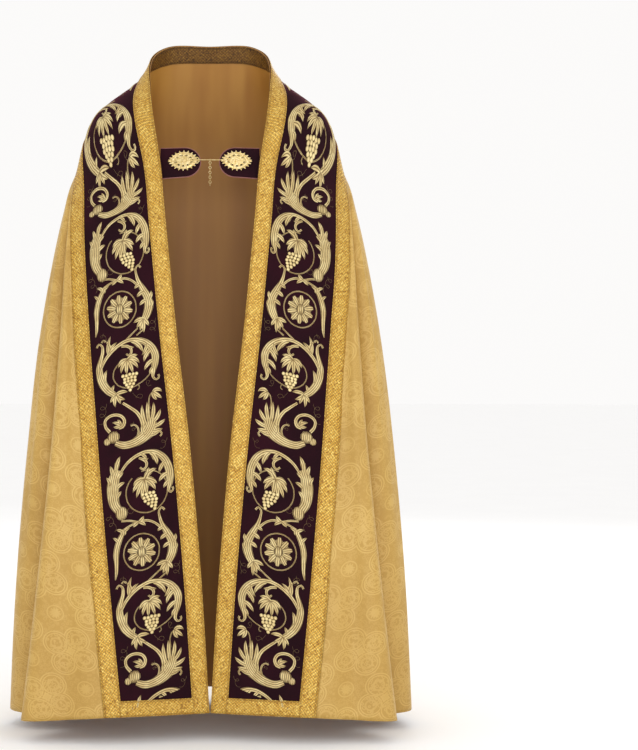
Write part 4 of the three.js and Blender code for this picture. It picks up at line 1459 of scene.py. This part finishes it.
def make_tab(name, side, node):
    bm = bmesh.new()
    rim = [bm.verts.new((x, y, 0)) for x, y in tab_outline()]
    face = bm.faces.new(rim)
    top = bmesh.ops.extrude_face_region(bm, geom=[face])["geom"]
    raised = [g for g in top if isinstance(g, bmesh.types.BMVert)]
    bmesh.ops.translate(bm, vec=(0, 0, 2), verts=raised)
    rim_edges = [e for e in bm.edges if all(abs(v.co.z - 2) < 1e-6 for v in e.verts)]
    bmesh.ops.recalc_face_normals(bm, faces=bm.faces)
    bmesh.ops.bevel(bm, geom=rim_edges, offset=0.9, segments=3, profile=0.5, affect="EDGES", material=-1)
    piece = piece_from(name, bm, on_tab(side), faces_in=side > 0)
    return finish(piece, VELVET, [node])


def make_piping(name, side):
    bm = bmesh.new()
    tube(bm, [(x, y, 1.0) for x, y in tab_outline(0.2)], 1.15, 8, spacing=2.5)
    bmesh.ops.recalc_face_normals(bm, faces=bm.faces)
    piece = piece_from(name, bm, on_tab(side), faces_in=side > 0)
    return finish(piece, ROSE)


def grain(bm, at, size, turn=0.0, subdivisions=2):
    """A small gilt grain: its place, its half sizes, and how far it is turned in its plane."""
    made = bmesh.ops.create_icosphere(bm, subdivisions=subdivisions, radius=1.0)["verts"]
    bmesh.ops.scale(bm, vec=size, verts=made)
    bmesh.ops.rotate(bm, matrix=Matrix.Rotation(turn, 3, "Z"), verts=made)
    bmesh.ops.translate(bm, vec=at, verts=made)


def make_medallion(name, side, node):
    """An openwork leaf of gilt wire: a toothed rim, scrolls, grains and a raised boss."""
    bm = bmesh.new()
    cx, cy = MEDALLION_AT
    half = MEDALLION_LENGTH / 2
    high = MEDALLION_HEIGHT / 2

    def rim(t, scale=1.0):
        turn = 2 * math.pi * t
        x = half * math.cos(turn)
        rise = high * math.copysign(abs(math.sin(turn)) ** 1.35, math.sin(turn))
        return (cx + x * scale, cy + rise * scale * 0.86)

    around = np.linspace(0, 1, MEDALLION_STEPS)
    scales = np.array([0.0, 0.3, 0.46, 0.56, 0.72, 0.82, 0.97])
    verts = net(bm, around, scales)
    for vert in verts:
        t, scale = vert.co.x, vert.co.y
        vert.co = (*rim(t, scale), 2.9 + 0.5 * (1 - scale))
    corners = {vert: k for k, vert in enumerate(verts)}
    pierced = []
    for face in faces_of(verts):
        k = min(corners[vert] for vert in face.verts)
        column, row = k % MEDALLION_STEPS, k // MEDALLION_STEPS
        if row == 3 and column % 4 < 2:
            pierced.append(face)
    bmesh.ops.delete(bm, geom=pierced, context="FACES")
    bmesh.ops.remove_doubles(bm, verts=bm.verts, dist=0.01)
    bmesh.ops.solidify(bm, geom=bm.faces[:], thickness=0.5)
    for scale, radius in ((0.98, 0.8), (0.8, 0.6), (0.46, 0.6)):
        tube(bm, [(*rim(k / 40, scale), 3.2) for k in range(41)], radius, 6, spacing=1.6)
    for k in range(22):
        t = (k + 0.5) / 22
        near, far = rim(t, 0.93), rim(t, 1.12)
        way = math.atan2(far[1] - near[1], far[0] - near[0])
        at = (far[0] * 0.55 + near[0] * 0.45, far[1] * 0.55 + near[1] * 0.45, 3.2)
        grain(bm, at, (1.5, 3.7, 0.9), way - math.pi / 2)
    for k in range(12):
        t = (k + 0.5) / 12
        a, b = rim(t, 0.5), rim(t, 0.76)
        mid = ((a[0] + b[0]) / 2, (a[1] + b[1]) / 2)
        loop = [(mid[0] + 2.6 * math.cos(q), mid[1] + 2.6 * math.sin(q), 3.4) for q in np.linspace(0, 5.4, 9)]
        tube(bm, loop, 0.55, 5, spacing=1.4)
        grain(bm, (*mid, 3.5), (1.1, 1.1, 1.1), subdivisions=1)
    for k in range(8):
        t = k / 8 + 0.06
        grain(bm, (*rim(t, 0.28), 3.6), (2.6, 1.6, 1.1), 2 * math.pi * t)
    grain(bm, (cx, cy, 3.8), (3.4, 2.8, 1.9))
    bmesh.ops.recalc_face_normals(bm, faces=bm.faces)
    piece = piece_from(name, bm, on_tab(side), faces_in=side > 0)
    return finish(piece, GILT, [node])


tabs = [make_tab("tab_velvet_right", 1, "tab_right"), make_tab("tab_velvet_left", -1, "tab_left")]
piping = [make_piping("tab_piping_right", 1), make_piping("tab_piping_left", -1)]
medallions = [
    make_medallion("medallion_filigree_right", 1, "medallion_right"),
    make_medallion("medallion_filigree_left", -1, "medallion_left"),
]
for name in ("hook", "eye", "chain"):
    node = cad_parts[name]
    for place in (bpy.data.objects[node] if isinstance(node, str) else node).material_slots:
        place.material = GILT


# ---- Floor, light and camera ----
def make_floor():
    f = Finish("pale_floor")
    grain = f.noise(f.place(), 3.0, 3.0)
    f.done(Base_Color=f.mix(grain, paint(250, 250, 250), paint(254, 254, 254)), Roughness=1.0)
    bm = bmesh.new()
    bmesh.ops.create_circle(bm, cap_ends=True, segments=64, radius=40)
    bmesh.ops.translate(bm, vec=(0, 0, cad_box[0][2] - 0.03), verts=bm.verts)
    floor = put("floor", mesh_from("floor", bm))
    floor.data.materials.append(f.material)


def make_light(name, at, aim_height, size, power):
    """A square soft light that looks at a height on the cope's middle."""
    lamp = bpy.data.lights.new(name, "AREA")
    lamp.shape = "RECTANGLE"
    lamp.size = size
    lamp.size_y = size
    lamp.energy = power
    holder = put(name, lamp)
    holder.location = at
    holder.rotation_euler = (Vector((0, 0, aim_height)) - Vector(at)).to_track_quat("-Z", "Y").to_euler()


make_floor()
make_light("front", (0.1, -4.4, -0.4), -0.65, 1.4, 46)
make_light("key", (2.4, -3.6, 1.6), -0.6, 2.0, 26)
make_light("fill", (-2.8, -3.2, 0.6), -0.7, 2.4, 8)
make_light("back", (1.2, 3.8, 1.6), -0.6, 2.0, 34)
world = bpy.data.worlds.new("studio")
world.use_nodes = True
background = world.node_tree.nodes["Background"].inputs
background["Color"].default_value = (1.0, 0.99, 0.98, 1)
background["Strength"].default_value = 0.97
bpy.context.scene.world = world
bpy.context.scene.view_settings.view_transform = "Standard"

camera = bpy.data.cameras.new("camera")
camera.lens = 82.3
camera.sensor_width = 36
camera.shift_x = 0.1453
camera.clip_end = 200
stand = put("camera", camera)
stand.location = (0, -3.6, -0.651)
stand.rotation_euler = (math.pi / 2, 0, 0)
bpy.context.scene.camera = stand
